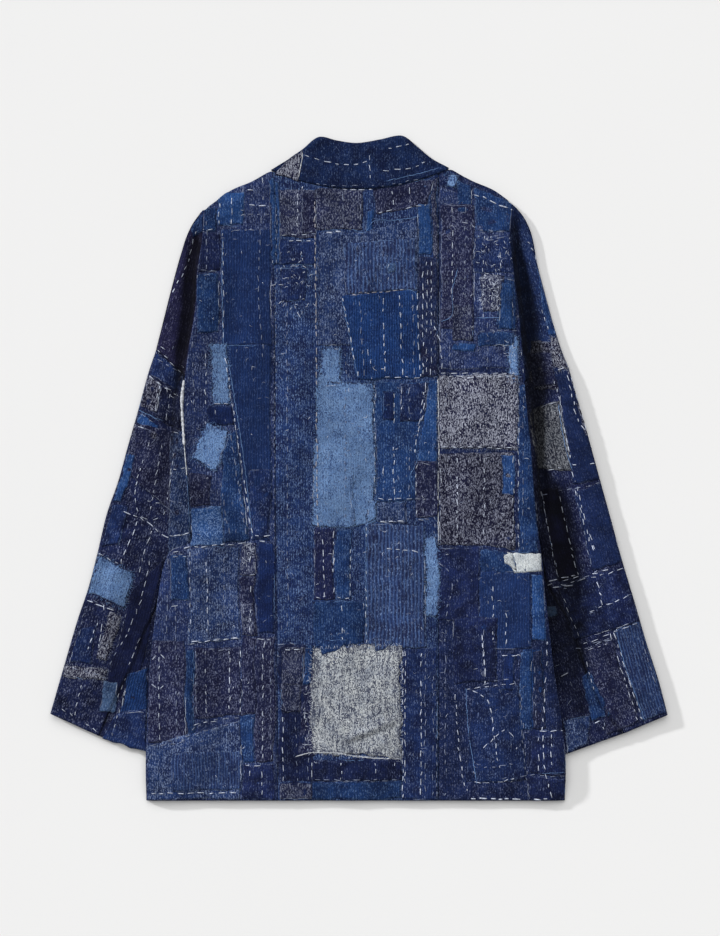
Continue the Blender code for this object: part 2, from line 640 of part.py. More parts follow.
def build_under_sleeve(name, side, collection):
    """The narrow piece under the arm: from the back seam in, round the hidden inner fold and back below."""
    fold_radius = 0.5 * SLEEVE_THICK * MM / CM
    outer_rows, inner_rows = [], []
    for v in SLEEVE_ROWS[4:]:
        seam, inner_edge = along(side.sleeve_seam, v), along(side.sleeve_inner, v)
        away = towards(seam, inner_edge)
        start = shifted(seam, away, HALF_SEAM)
        end = shifted(inner_edge, away, -fold_radius)
        places = [Spot(mix(start.x, end.x, u), mix(start.y, end.y, u)) for u in UNDER_COLUMNS]
        outer, inner = tube_section(side, places, away, 0.0)
        outer_rows.append(outer)
        inner_rows.append(inner)
    return shell(name, outer_rows, inner_rows, "indigo_sleeve", collection)


def grid_surface(rows):
    """Places and triangles of one grid of metre points, for what lies on it."""
    columns = len(rows[0])
    places = [tuple(place) for row in rows for place in row]
    triangles = []
    for r in range(len(rows) - 1):
        for c in range(columns - 1):
            a = r * columns + c
            triangles.append((a, a + 1, a + columns + 1))
            triangles.append((a, a + columns + 1, a + columns))
    return places, triangles


# ---------------------------------------------------------------- patches

def metre_surface(surface):
    places, triangles = surface
    return [tuple(point(x, y, z)) for x, y, z in places], triangles


def build_patch(patch, surface, collection):
    """The panel's own facets inside the patch's outline, moved out and given their own thickness."""
    places, triangles = surface
    builder = bmesh.new()
    vertices = [builder.verts.new(place) for place in places]
    for triangle in triangles:
        builder.faces.new([vertices[i] for i in triangle])
    corners = [point(x, y, 0.0) for x, y in patch.corners]
    for start, end in zip(corners, corners[1:] + corners[:1]):
        way = end - start
        outward = Vector((-way.y, way.x, 0.0)).normalized()
        everything = builder.verts[:] + builder.edges[:] + builder.faces[:]
        bmesh.ops.bisect_plane(builder, geom=everything, dist=1e-7, plane_co=start, plane_no=outward, clear_outer=True)
    bmesh.ops.triangulate(builder, faces=builder.faces[:])
    bmesh.ops.recalc_face_normals(builder, faces=builder.faces[:])
    if sum(face.normal.z for face in builder.faces) < 0.0:
        bmesh.ops.reverse_faces(builder, faces=builder.faces[:])
    lower = {vertex: builder.verts.new(vertex.co + Vector((0.0, 0.0, SEAM * MM))) for vertex in builder.verts[:]}
    faces = builder.faces[:]
    borders = [edge for edge in builder.edges if edge.is_boundary]
    rims = [(edge.link_loops[0].vert, edge.link_loops[0].link_loop_next.vert) for edge in borders]
    for face in faces:
        builder.faces.new([lower[vertex] for vertex in reversed(face.verts[:])])
    for vertex in lower:
        vertex.co.z += (SEAM + PATCH_WALL) * MM
    for start, end in rims:
        builder.faces.new((end, start, lower[start]))
        builder.faces.new((end, lower[start], lower[end]))
    return add_object(patch.name, builder, patch.slot, collection)


def build_jacket():
    remove_everything()
    jacket = bpy.data.collections.new("patched_boro_jacket")
    bpy.context.scene.collection.children.link(jacket)
    surfaces = {}
    for name, side in (("left", LEFT), ("right", RIGHT)):
        surface = build_back_side(f"back_{name}", side, jacket)[1]
        surfaces[f"back_{name}"] = metre_surface(surface)
        build_front(f"front_{name}", side, jacket)
        surfaces[f"sleeve_{name}"] = build_sleeve(f"sleeve_{name}", side, jacket)[1]
        build_under_sleeve(f"under_sleeve_{name}", side, jacket)
        build_collar_front(f"collar_front_{name}", side.sign, jacket)
    surfaces["back_centre"] = metre_surface(build_back_centre(jacket)[1])
    build_collar_back(jacket)
    for patch in PATCHES:
        build_patch(patch, surfaces[patch.panel], jacket)


build_jacket()
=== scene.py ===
"""The looks of the patched boro jacket: fine cloth shells on the CAD solids, patches, stitches and light.

The tables are in centimetres across the plan, from the middle of the hem, and heights are in millimetres, as
in the CAD source. metres() turns both into metres in the frame. Every cloth is a closed shell on its solid's
form. Patches are thin sheets on the panels' own surface, and stitches are short half-sunk threads.
"""

import math
from collections import namedtuple

import bpy
import numpy as np
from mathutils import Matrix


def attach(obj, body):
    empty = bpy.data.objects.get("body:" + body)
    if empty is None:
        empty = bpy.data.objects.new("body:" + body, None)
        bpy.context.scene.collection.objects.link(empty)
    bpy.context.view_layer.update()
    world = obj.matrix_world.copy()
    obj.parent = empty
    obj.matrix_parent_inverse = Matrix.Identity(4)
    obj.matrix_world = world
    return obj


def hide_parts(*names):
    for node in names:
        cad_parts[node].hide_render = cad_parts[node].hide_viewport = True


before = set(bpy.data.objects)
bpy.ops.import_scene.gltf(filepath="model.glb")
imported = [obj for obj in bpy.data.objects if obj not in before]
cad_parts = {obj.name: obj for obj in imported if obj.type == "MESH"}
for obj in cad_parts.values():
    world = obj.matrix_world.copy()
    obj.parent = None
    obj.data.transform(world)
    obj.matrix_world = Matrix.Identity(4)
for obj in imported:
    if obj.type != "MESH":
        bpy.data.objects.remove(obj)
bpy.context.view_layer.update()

CM = 0.01
MM = 0.001
MM_IN_CM = 0.1

# Driving sizes of the cut, as in the CAD source.
GARMENT_MIDDLE = (0.125, 41.62)
NECK_SEAM_Y = 76.55
NECK_HALF = 11.0
NECK_RISE = 2.35
BAND_WIDTH = 5.5
UNDERARM_Y = 32.4
SEAM_SHADE = 1.5          # how much painted shade lies in the sleeves' sunk seams
WALL = 2.4
BAND_WALL = 3.0
CLOSED = 0.3
SLACK = 3.2
CENTRE_SLACK = 1.9
SLEEVE_THICK = 8.0
OVER_SLEEVE = 8.55
FOLD_LIFT = 7.2
OUTER_LIFT = 2.2
SEAM_GAP = 0.015         # each piece's share of the gap at a seam, in centimetres

CELL = 0.34              # side of a cloth cell, in centimetres
EDGE_ROWS = 7            # rows of cells where a cloth turns at its edge
WELD = 2e-6              # points this near each other are one, in metres
DARKEST_SHADE = -2.6           # the darkest painted shade in the hollows
PATCH_CELL = 0.3
PATCH_LIFT = 0.28        # how far a patch lies above its panel, in millimetres
LAYER_LIFT = 0.16        # and each further patch above the last
CONTOUR_SHARE = 0.55     # part of the patches' sides that show a loose thread
WORN_STITCHES = 0.12     # part of the stitches that are worn away
DIRTY_ROWS = 0.3         # part of the white rows that have gone dim

FILL = 0.30              # the white room's share of the light, which is about 1.1 in all
# Each lamp's strength, then its apparent width, its height above the floor and its turn, in degrees.
SOFT_LAMP = (1.99, 70.0, 60.0, -85.0)
KEY_LAMP = (2.24, 4.0, 20.5, -33.0)
VIEW_HEIGHT = 1.17       # metres of floor from the picture's top to its bottom

Side = namedtuple("Side", "sign edge top drop outer seam inner corner_y strip hollow")
Fold = namedtuple("Fold", "x0 y0 x1 y1 width height")
Patch = namedtuple("Patch", "cloth corners stitched")
Line = namedtuple("Line", "thread places")
Cloth = namedtuple(
    "Cloth", "base shade thread warp weft cord torn ribs rib specks speck", defaults=(0, None, 0, None))


def smooth_curve(places, finest=0.4):
    """Points close together on a smooth curve through the given places."""
    places = np.array(places, float)
    run = np.concatenate([[0.0], np.cumsum(np.hypot(*np.diff(places, axis=0).T))])
    slope = np.gradient(places, run, axis=0)
    at = np.linspace(0.0, run[-1], max(int(run[-1] / finest), 2))
    k = np.clip(np.searchsorted(run, at, side="right") - 1, 0, len(run) - 2)
    length = (run[k + 1] - run[k])[:, None]
    s = (at - run[k])[:, None] / length
    start = (2 * s ** 3 - 3 * s ** 2 + 1) * places[k] + (s ** 3 - 2 * s ** 2 + s) * length * slope[k]
    end = (3 * s ** 2 - 2 * s ** 3) * places[k + 1] + (s ** 3 - s ** 2) * length * slope[k + 1]
    return start + end


# Each side's outlines, with x counted away from the centre back and y up from the hem. The rows of strip
# hold how far the folded cloth reaches over the arm, and those of hollow how wide the painted shade is where
# the arm dips beside it, and how dark.
LEFT = Side(
    sign=-1,
    edge=smooth_curve([
        (26.5, 0.0), (26.5, 6.0), (26.25, 12.0), (26.0, 17.0), (25.4, 22.5), (24.75, 27.0), (24.3, 29.3),
        (23.5, 31.2), (20.9, 32.4), (21.0, 35.0), (21.25, 39.9), (21.75, 46.25), (21.9, 50.4), (21.6, 53.1),
        (21.1, 56.6), (20.25, 62.0), (20.1, 65.75), (19.4, 70.75), (19.3, 73.9),
    ]),
    top=smooth_curve([
        (10.6, 78.77), (11.1, 78.7), (12.1, 78.22), (13.1, 77.65), (16.4, 76.25), (18.25, 74.75),
        (19.3, 73.9),
    ]),
    drop=smooth_curve([
        (25.25, 56.5), (24.4, 59.9), (23.5, 63.5), (22.1, 68.6), (21.4, 70.75), (20.75, 72.1), (19.7, 73.6),
    ]),
    outer=smooth_curve([
        (25.25, 56.5), (26.25, 53.5), (27.4, 49.25), (28.9, 44.0), (30.0, 40.0), (31.4, 36.0), (32.6, 31.0),
        (33.75, 26.6), (35.0, 22.9), (36.6, 17.5), (38.5, 10.9),
    ]),
    seam=smooth_curve([
        (20.9, 32.4), (24.0, 29.6), (25.25, 24.25), (26.9, 20.75), (28.25, 16.9), (29.75, 14.1), (32.4, 8.1),
    ]),
    inner=smooth_curve([(20.6, 32.2), (22.9, 27.5), (23.0, 20.0), (22.6, 12.0), (22.0, 4.7)]),
    corner_y=53.1,
    strip=[(32.0, 2.9), (37.5, 2.3), (47.25, 0.75), (53.1, 0.0), (74.0, 0.0)],
    hollow=[
        (8.0, 1.5, 0.0), (13.0, 2.0, 0.4), (20.0, 3.5, 0.7), (28.0, 3.5, 0.7), (33.0, 2.0, 0.5),
        (42.0, 0.4, 0.6), (50.0, 1.0, 1.5), (57.0, 1.8, 2.1), (63.0, 2.0, 2.3), (68.0, 1.7, 2.1),
        (70.5, 1.2, 1.6), (72.0, 1.0, 0.7), (73.5, 0.6, 0.0),
    ],
)
RIGHT = Side(
    sign=1,
    edge=smooth_curve([
        (25.9, 0.0), (25.9, 6.0), (25.4, 10.5), (24.4, 17.1), (23.8, 22.5), (23.3, 27.0), (23.1, 29.3),
        (22.9, 31.0), (22.7, 32.4), (22.4, 35.0), (22.0, 38.9), (21.6, 44.4), (21.25, 47.6), (20.8, 52.5),
        (20.5, 55.4), (19.75, 63.25), (19.4, 66.1), (19.0, 70.0), (19.3, 74.6),
    ]),
    top=smooth_curve([
        (10.1, 78.53), (11.25, 79.0), (12.0, 78.7), (12.8, 78.3), (14.6, 77.5), (17.5, 76.25),
        (19.3, 74.7),
    ]),
    drop=smooth_curve([
        (26.4, 54.1), (25.75, 55.6), (24.6, 59.1), (23.6, 62.75), (22.5, 66.9), (21.4, 71.75), (20.6, 73.25),
        (19.8, 74.2),
    ]),
    outer=smooth_curve([
        (26.4, 54.1), (27.25, 51.0), (28.25, 47.6), (28.9, 45.25), (30.4, 39.75), (31.6, 35.4), (33.0, 30.25),
        (34.6, 24.9), (36.1, 19.75), (37.6, 15.1), (38.75, 10.75),
    ]),
    seam=smooth_curve([
        (22.7, 32.4), (23.75, 27.0), (26.6, 22.1), (28.25, 17.1), (30.6, 11.6), (33.2, 8.4),
    ]),
    inner=smooth_curve([(22.4, 32.2), (22.2, 27.5), (22.0, 20.0), (21.6, 12.0), (21.2, 4.1)]),
    corner_y=52.5,
    strip=[(32.0, 0.3), (52.5, 0.3), (74.0, 0.0)],
    hollow=[
        (8.0, 2.5, 0.3), (12.0, 3.2, 1.6), (19.0, 4.2, 2.4), (26.0, 5.0, 2.5), (34.0, 4.6, 2.4),
        (38.5, 3.9, 2.3), (42.0, 1.2, 1.9), (46.0, 1.7, 2.0), (51.0, 2.8, 2.4), (54.0, 2.6, 2.2),
        (60.0, 2.5, 2.8), (65.0, 2.1, 2.7), (70.0, 1.3, 2.2), (72.0, 1.0, 1.6), (73.4, 0.8, 0.2),
    ],
)
SIDES = {"left": LEFT, "right": RIGHT}
BACK_SEAM = {-1: [(0.0, 10.0), (79.0, 10.6)], 1: [(0.0, 10.1), (79.0, 10.1)]}
BAND_SEAM = [(0.0, 5.5), (52.0, 5.5), (66.0, 7.4), (79.0, 10.6)]
COLLAR_SEAM_X = (-10.8, -10.6, -8.5, -6.1, -3.4, -0.3, 2.9, 5.6, 8.0, 10.1, 11.3)
COLLAR_TOP = [
    (-10.9, 78.92), (-8.9, 80.1), (-7.0, 81.5), (-4.9, 83.1), (-2.6, 82.65), (-0.1, 82.35), (2.8, 82.8),
    (5.5, 83.25), (7.4, 81.9), (8.9, 80.6), (11.4, 79.18),
]
COLLAR_AT_SEAM = 7.0
COLLAR_AT_TOP = 4.2
CORNER_SHARE = 0.25      # part of the armhole that runs across the top of the arm

# Folds: soft ridges (height above 0) and troughs (below 0), in centimetres and millimetres.
BODY_FOLDS = [
    Fold(-20.4, 32.4, -14.0, 32.6, 0.6, -0.9),
    Fold(-12.5, 32.9, -10.4, 32.7, 0.5, -0.6),
    Fold(-8.5, 60.0, -8.0, 22.0, 1.6, 0.7),
    Fold(-3.5, 30.0, -2.0, 3.0, 1.8, 0.6),
    Fold(3.5, 48.0, 5.5, 14.0, 1.7, 0.7),
    Fold(-15.0, 24.0, -13.5, 2.0, 1.8, 0.9),
    Fold(13.5, 40.0, 15.5, 6.0, 1.8, 0.9),
    Fold(-14.5, 70.0, -13.0, 44.0, 1.7, 0.7),
    Fold(14.0, 70.0, 13.0, 48.0, 1.6, 0.7),
    Fold(-1.1, 7.2, 4.3, 9.3, 0.35, -2.2),
    Fold(-0.6, 8.2, 4.2, 10.3, 0.5, 0.9),
    Fold(-18.0, 41.0, -12.5, 34.5, 0.9, 0.7),
    Fold(-20.0, 38.5, -14.0, 33.6, 0.6, -0.7),
    Fold(20.5, 30.0, 15.0, 26.0, 0.8, -0.6),
    Fold(21.0, 33.0, 14.0, 31.0, 0.8, 0.6),
    Fold(-9.0, 76.0, -4.0, 73.5, 0.9, 0.5),
    Fold(9.0, 76.0, 5.0, 73.0, 0.8, 0.5),
    Fold(-17.5, 72.0, -12.0, 75.0, 0.9, -0.5),
    Fold(17.0, 72.5, 12.0, 75.5, 0.9, -0.5),
    Fold(-23.5, 18.0, -22.0, 5.0, 0.9, 0.7),
    Fold(22.5, 15.0, 23.0, 2.0, 0.9, 0.6),
    Fold(-6.0, 3.4, 8.0, 3.0, 0.6, -0.3),
]
ARM_FOLDS = [
    Fold(25.5, 50.0, 30.5, 26.0, 1.3, 0.9),
    Fold(29.0, 34.0, 34.0, 14.0, 1.4, 0.9),
    Fold(24.5, 44.0, 27.5, 30.0, 1.1, -0.9),
    Fold(30.5, 24.0, 33.0, 10.0, 1.1, -0.8),
    Fold(23.6, 40.0, 25.8, 31.5, 0.7, 0.8),
    Fold(24.5, 36.5, 31.0, 33.0, 0.7, -0.6),
    Fold(26.0, 31.0, 32.0, 28.0, 0.7, 0.6),
    Fold(28.0, 22.0, 34.5, 19.0, 0.6, -0.5),
    Fold(22.0, 68.0, 23.5, 60.0, 0.7, 0.8),
    Fold(24.0, 58.0, 27.0, 53.0, 0.8, 0.5),
]

# What each cloth looks like, its colours as 8-bit display values. warp and weft are the shares of light
# threads that run up and across, cord is how strongly fine cords run up it, and torn how far its border is
# worn away. ribs is the pitch of raised light ribs in millimetres, rib their colour, and specks the share
# of dark specks.
CLOTHS = {
    "navy": Cloth((24, 34, 71), (16, 22, 48), (92, 104, 138), 0.11, 0.04, 0.5, 0.25),
    "midnavy": Cloth((26, 42, 84), (19, 28, 60), (96, 112, 150), 0.14, 0.05, 0.5, 0.25),
    "melange": Cloth((28, 46, 88), (22, 32, 66), (96, 118, 158), 0.22, 0.08, 0.7, 0.25),
    "brownmelange": Cloth((24, 38, 74), (24, 28, 54), (88, 96, 126), 0.16, 0.05, 0.4, 0.3),
    "blue": Cloth((26, 50, 94), (20, 37, 74), (84, 110, 152), 0.17, 0.06, 0.5, 0.2),
    "bright": Cloth((33, 63, 113), (25, 49, 93), (92, 120, 164), 0.16, 0.06, 0.5, 0.3),
    "twill": Cloth((23, 49, 96), (19, 38, 78), (62, 90, 140), 0.16, 0.0, 1.0, 0.08),
    "denim": Cloth((32, 50, 92), (24, 35, 68), (116, 132, 166), 0.24, 0.10, 0.6, 0.35),
    "grey": Cloth((35, 41, 72), (26, 31, 56), (126, 132, 154), 0.24, 0.08, 0.4, 0.4),
    "brown": Cloth((27, 32, 62), (21, 24, 50), (106, 112, 140), 0.20, 0.06, 0.3, 0.4),
    "speckle": Cloth((29, 31, 55), (21, 23, 45), (166, 170, 186), 0.36, 0.11, 0.3, 0.5),
    "speckledark": Cloth(
        (26, 28, 51), (20, 21, 42), (146, 150, 170), 0.30, 0.07, 0.3, 0.45),
    "white": Cloth(
        (184, 189, 193), (150, 157, 168), (208, 211, 212), 0.25, 0.15, 0.3, 0.3, 0, None, 0.54, (46, 52, 78)),
    "pale": Cloth(
        (98, 127, 169), (84, 112, 155), (126, 152, 190), 0.18, 0.10, 0.3, 0.7, 0, None, 0.28, (36, 54, 98)),
    "ribs": Cloth(
        (39, 56, 97), (28, 34, 64), (108, 130, 170), 0.15, 0.04, 0.0, 0.3, 4.6, (70, 96, 142), 0, None),
    "finerib": Cloth(
        (32, 48, 86), (25, 34, 66), (104, 122, 156), 0.14, 0.05, 0.0, 0.3, 3.6, (62, 84, 128), 0, None),
    "ribnavy": Cloth(
        (27, 46, 90), (22, 37, 75), (78, 98, 142), 0.12, 0.0, 0.0, 0.2, 3.4, (28, 52, 98), 0, None),
    "cross": Cloth((37, 66, 114), (29, 54, 99), (112, 138, 180), 0.24, 0.24, 0.2, 0.3),
    "darkbrown": Cloth((26, 33, 69), (21, 26, 56), (92, 98, 128), 0.14, 0.04, 0.4, 0.3),
    "deep": Cloth((23, 39, 82), (18, 29, 64), (72, 88, 124), 0.08, 0.03, 0.5, 0.2),
    "faded": Cloth(
        (72, 98, 136), (52, 74, 112), (112, 134, 168), 0.26, 0.1, 0.3, 0.12, 0, None, 0.05, (30, 46, 88)),
    "indigo": Cloth((26, 40, 79), (20, 31, 64), (84, 98, 136), 0.10, 0.04, 0.4, 0.2),
    "olive": Cloth((52, 56, 67), (31, 33, 47), (138, 142, 150), 0.37, 0.06, 0.3, 0.4),
    "paper": Cloth(
        (192, 198, 200), (170, 177, 184), (214, 217, 218),
        0.25, 0.15, 0.2, 0.05, 0, None, 0.03, (90, 98, 120)),
    "sleeveright": Cloth((24, 31, 64), (18, 23, 50), (98, 106, 138), 0.16, 0.06, 0.5, 0.2),
    "sleeveleft": Cloth((25, 33, 67), (16, 21, 46), (112, 120, 150), 0.15, 0.05, 0.5, 0.2),
    "shoulderleft": Cloth(
        (33, 33, 63), (23, 23, 49), (100, 102, 130), 0.12, 0.04, 0.5, 0.2),
    "shoulderright": Cloth(
        (29, 45, 86), (20, 29, 60), (92, 110, 150), 0.13, 0.05, 0.4, 0.2),
    "backleft": Cloth((32, 46, 87), (24, 33, 65), (106, 118, 152), 0.21, 0.07, 0.6, 0.2),
    "backright": Cloth((24, 36, 73), (18, 26, 54), (100, 110, 144), 0.15, 0.05, 0.5, 0.2),
    "collar": Cloth((19, 35, 71), (14, 24, 53), (86, 104, 140), 0.11, 0.05, 0.4, 0.2),
    "ink": Cloth((20, 27, 59), (15, 20, 45), (70, 78, 106), 0.07, 0.02, 0.5, 0.2),
    # near-black cloth where the body's fold shades the right arm; its darkness is partly painted shade
    "black": Cloth((16, 18, 44), (12, 14, 34), (60, 66, 92), 0.06, 0.02, 0.4, 0.2),
}
GROUND = (24, 30, 58)    # the indigo below a worn border
CORD_PITCH = 3.15        # millimetres from one fine cord to the next
CLOTH_ROUGHNESS = 0.9
CLOTH_SHEEN = 0.012
THREAD_COLOURS = {
    "w": (197, 205, 224),
    "dim": (130, 139, 164),
    "tan": (168, 166, 174),
    "blue": (104, 136, 184),
    "edge": (206, 210, 218),
}
RAGGED = {"pale": 0.13, "white": 0.14, "speckle": 0.10, "speckledark": 0.09, "brown": 0.07}
FRAYED = {"pale": "blue", "white": "w", "speckle": "dim"}
ARM_TURN = 15.0          # the sleeves' grain, in degrees from straight down
SHOULDER_THICK = 6.4     # both layers and the air between them at the shoulder's outer fold
CAD_PATCHES = {
    "back_centre": [
        "patch_pale_centre", "patch_white_hem", "patch_plain_blue", "patch_ribbed_pale", "patch_deep_blue",
        "patch_ribbed_blue", "patch_brown_small", "patch_brown_neck", "patch_brown_top",
    ],
    "back_left": [
        "patch_navy_long", "patch_pale_high", "patch_pale_low", "patch_denim_side", "patch_brown_side",
        "patch_denim_hem",
    ],
    "back_right": [
        "patch_speckle_high", "patch_speckle_low", "patch_white_torn",
        "patch_melange_side", "patch_blue_pocket",
    ],
    "arm_left": ["patch_pale_sleeve"],
    "arm_right": ["patch_melange_sleeve"],
    "collar": [],
}
COLLAR_FOLDS = [
    Fold(-9.0, 79.5, -6.0, 81.0, 0.5, -0.5),
    Fold(6.5, 82.0, 9.5, 79.5, 0.5, -0.5),
    Fold(-3.0, 79.0, 2.0, 79.2, 0.7, 0.4),
]
# Areas of short crossing darns: two opposite corners in centimetres, the thread, and how many darns.
DARNS = [
    (((15.2, 65.8), (17.8, 61.4)), "w", 84),
    (((-9.6, 68.6), (-5.6, 61.0)), "w", 34),
    (((10.4, 75.0), (14.4, 70.0)), "dim", 26),
    (((14.6, 70.6), (19.4, 66.0)), "w", 30),
    (((18.0, 57.5), (19.6, 53.4)), "w", 14),
    (((-14.4, 32.2), (-12.8, 28.2)), "w", 26),
    (((-6.8, 15.6), (-6.1, 6.6)), "w", 24),
    (((-23.0, 4.0), (22.0, 72.0)), "dim", 420),
    (((-23.0, 2.0), (22.0, 74.0)), "w", 120),
]
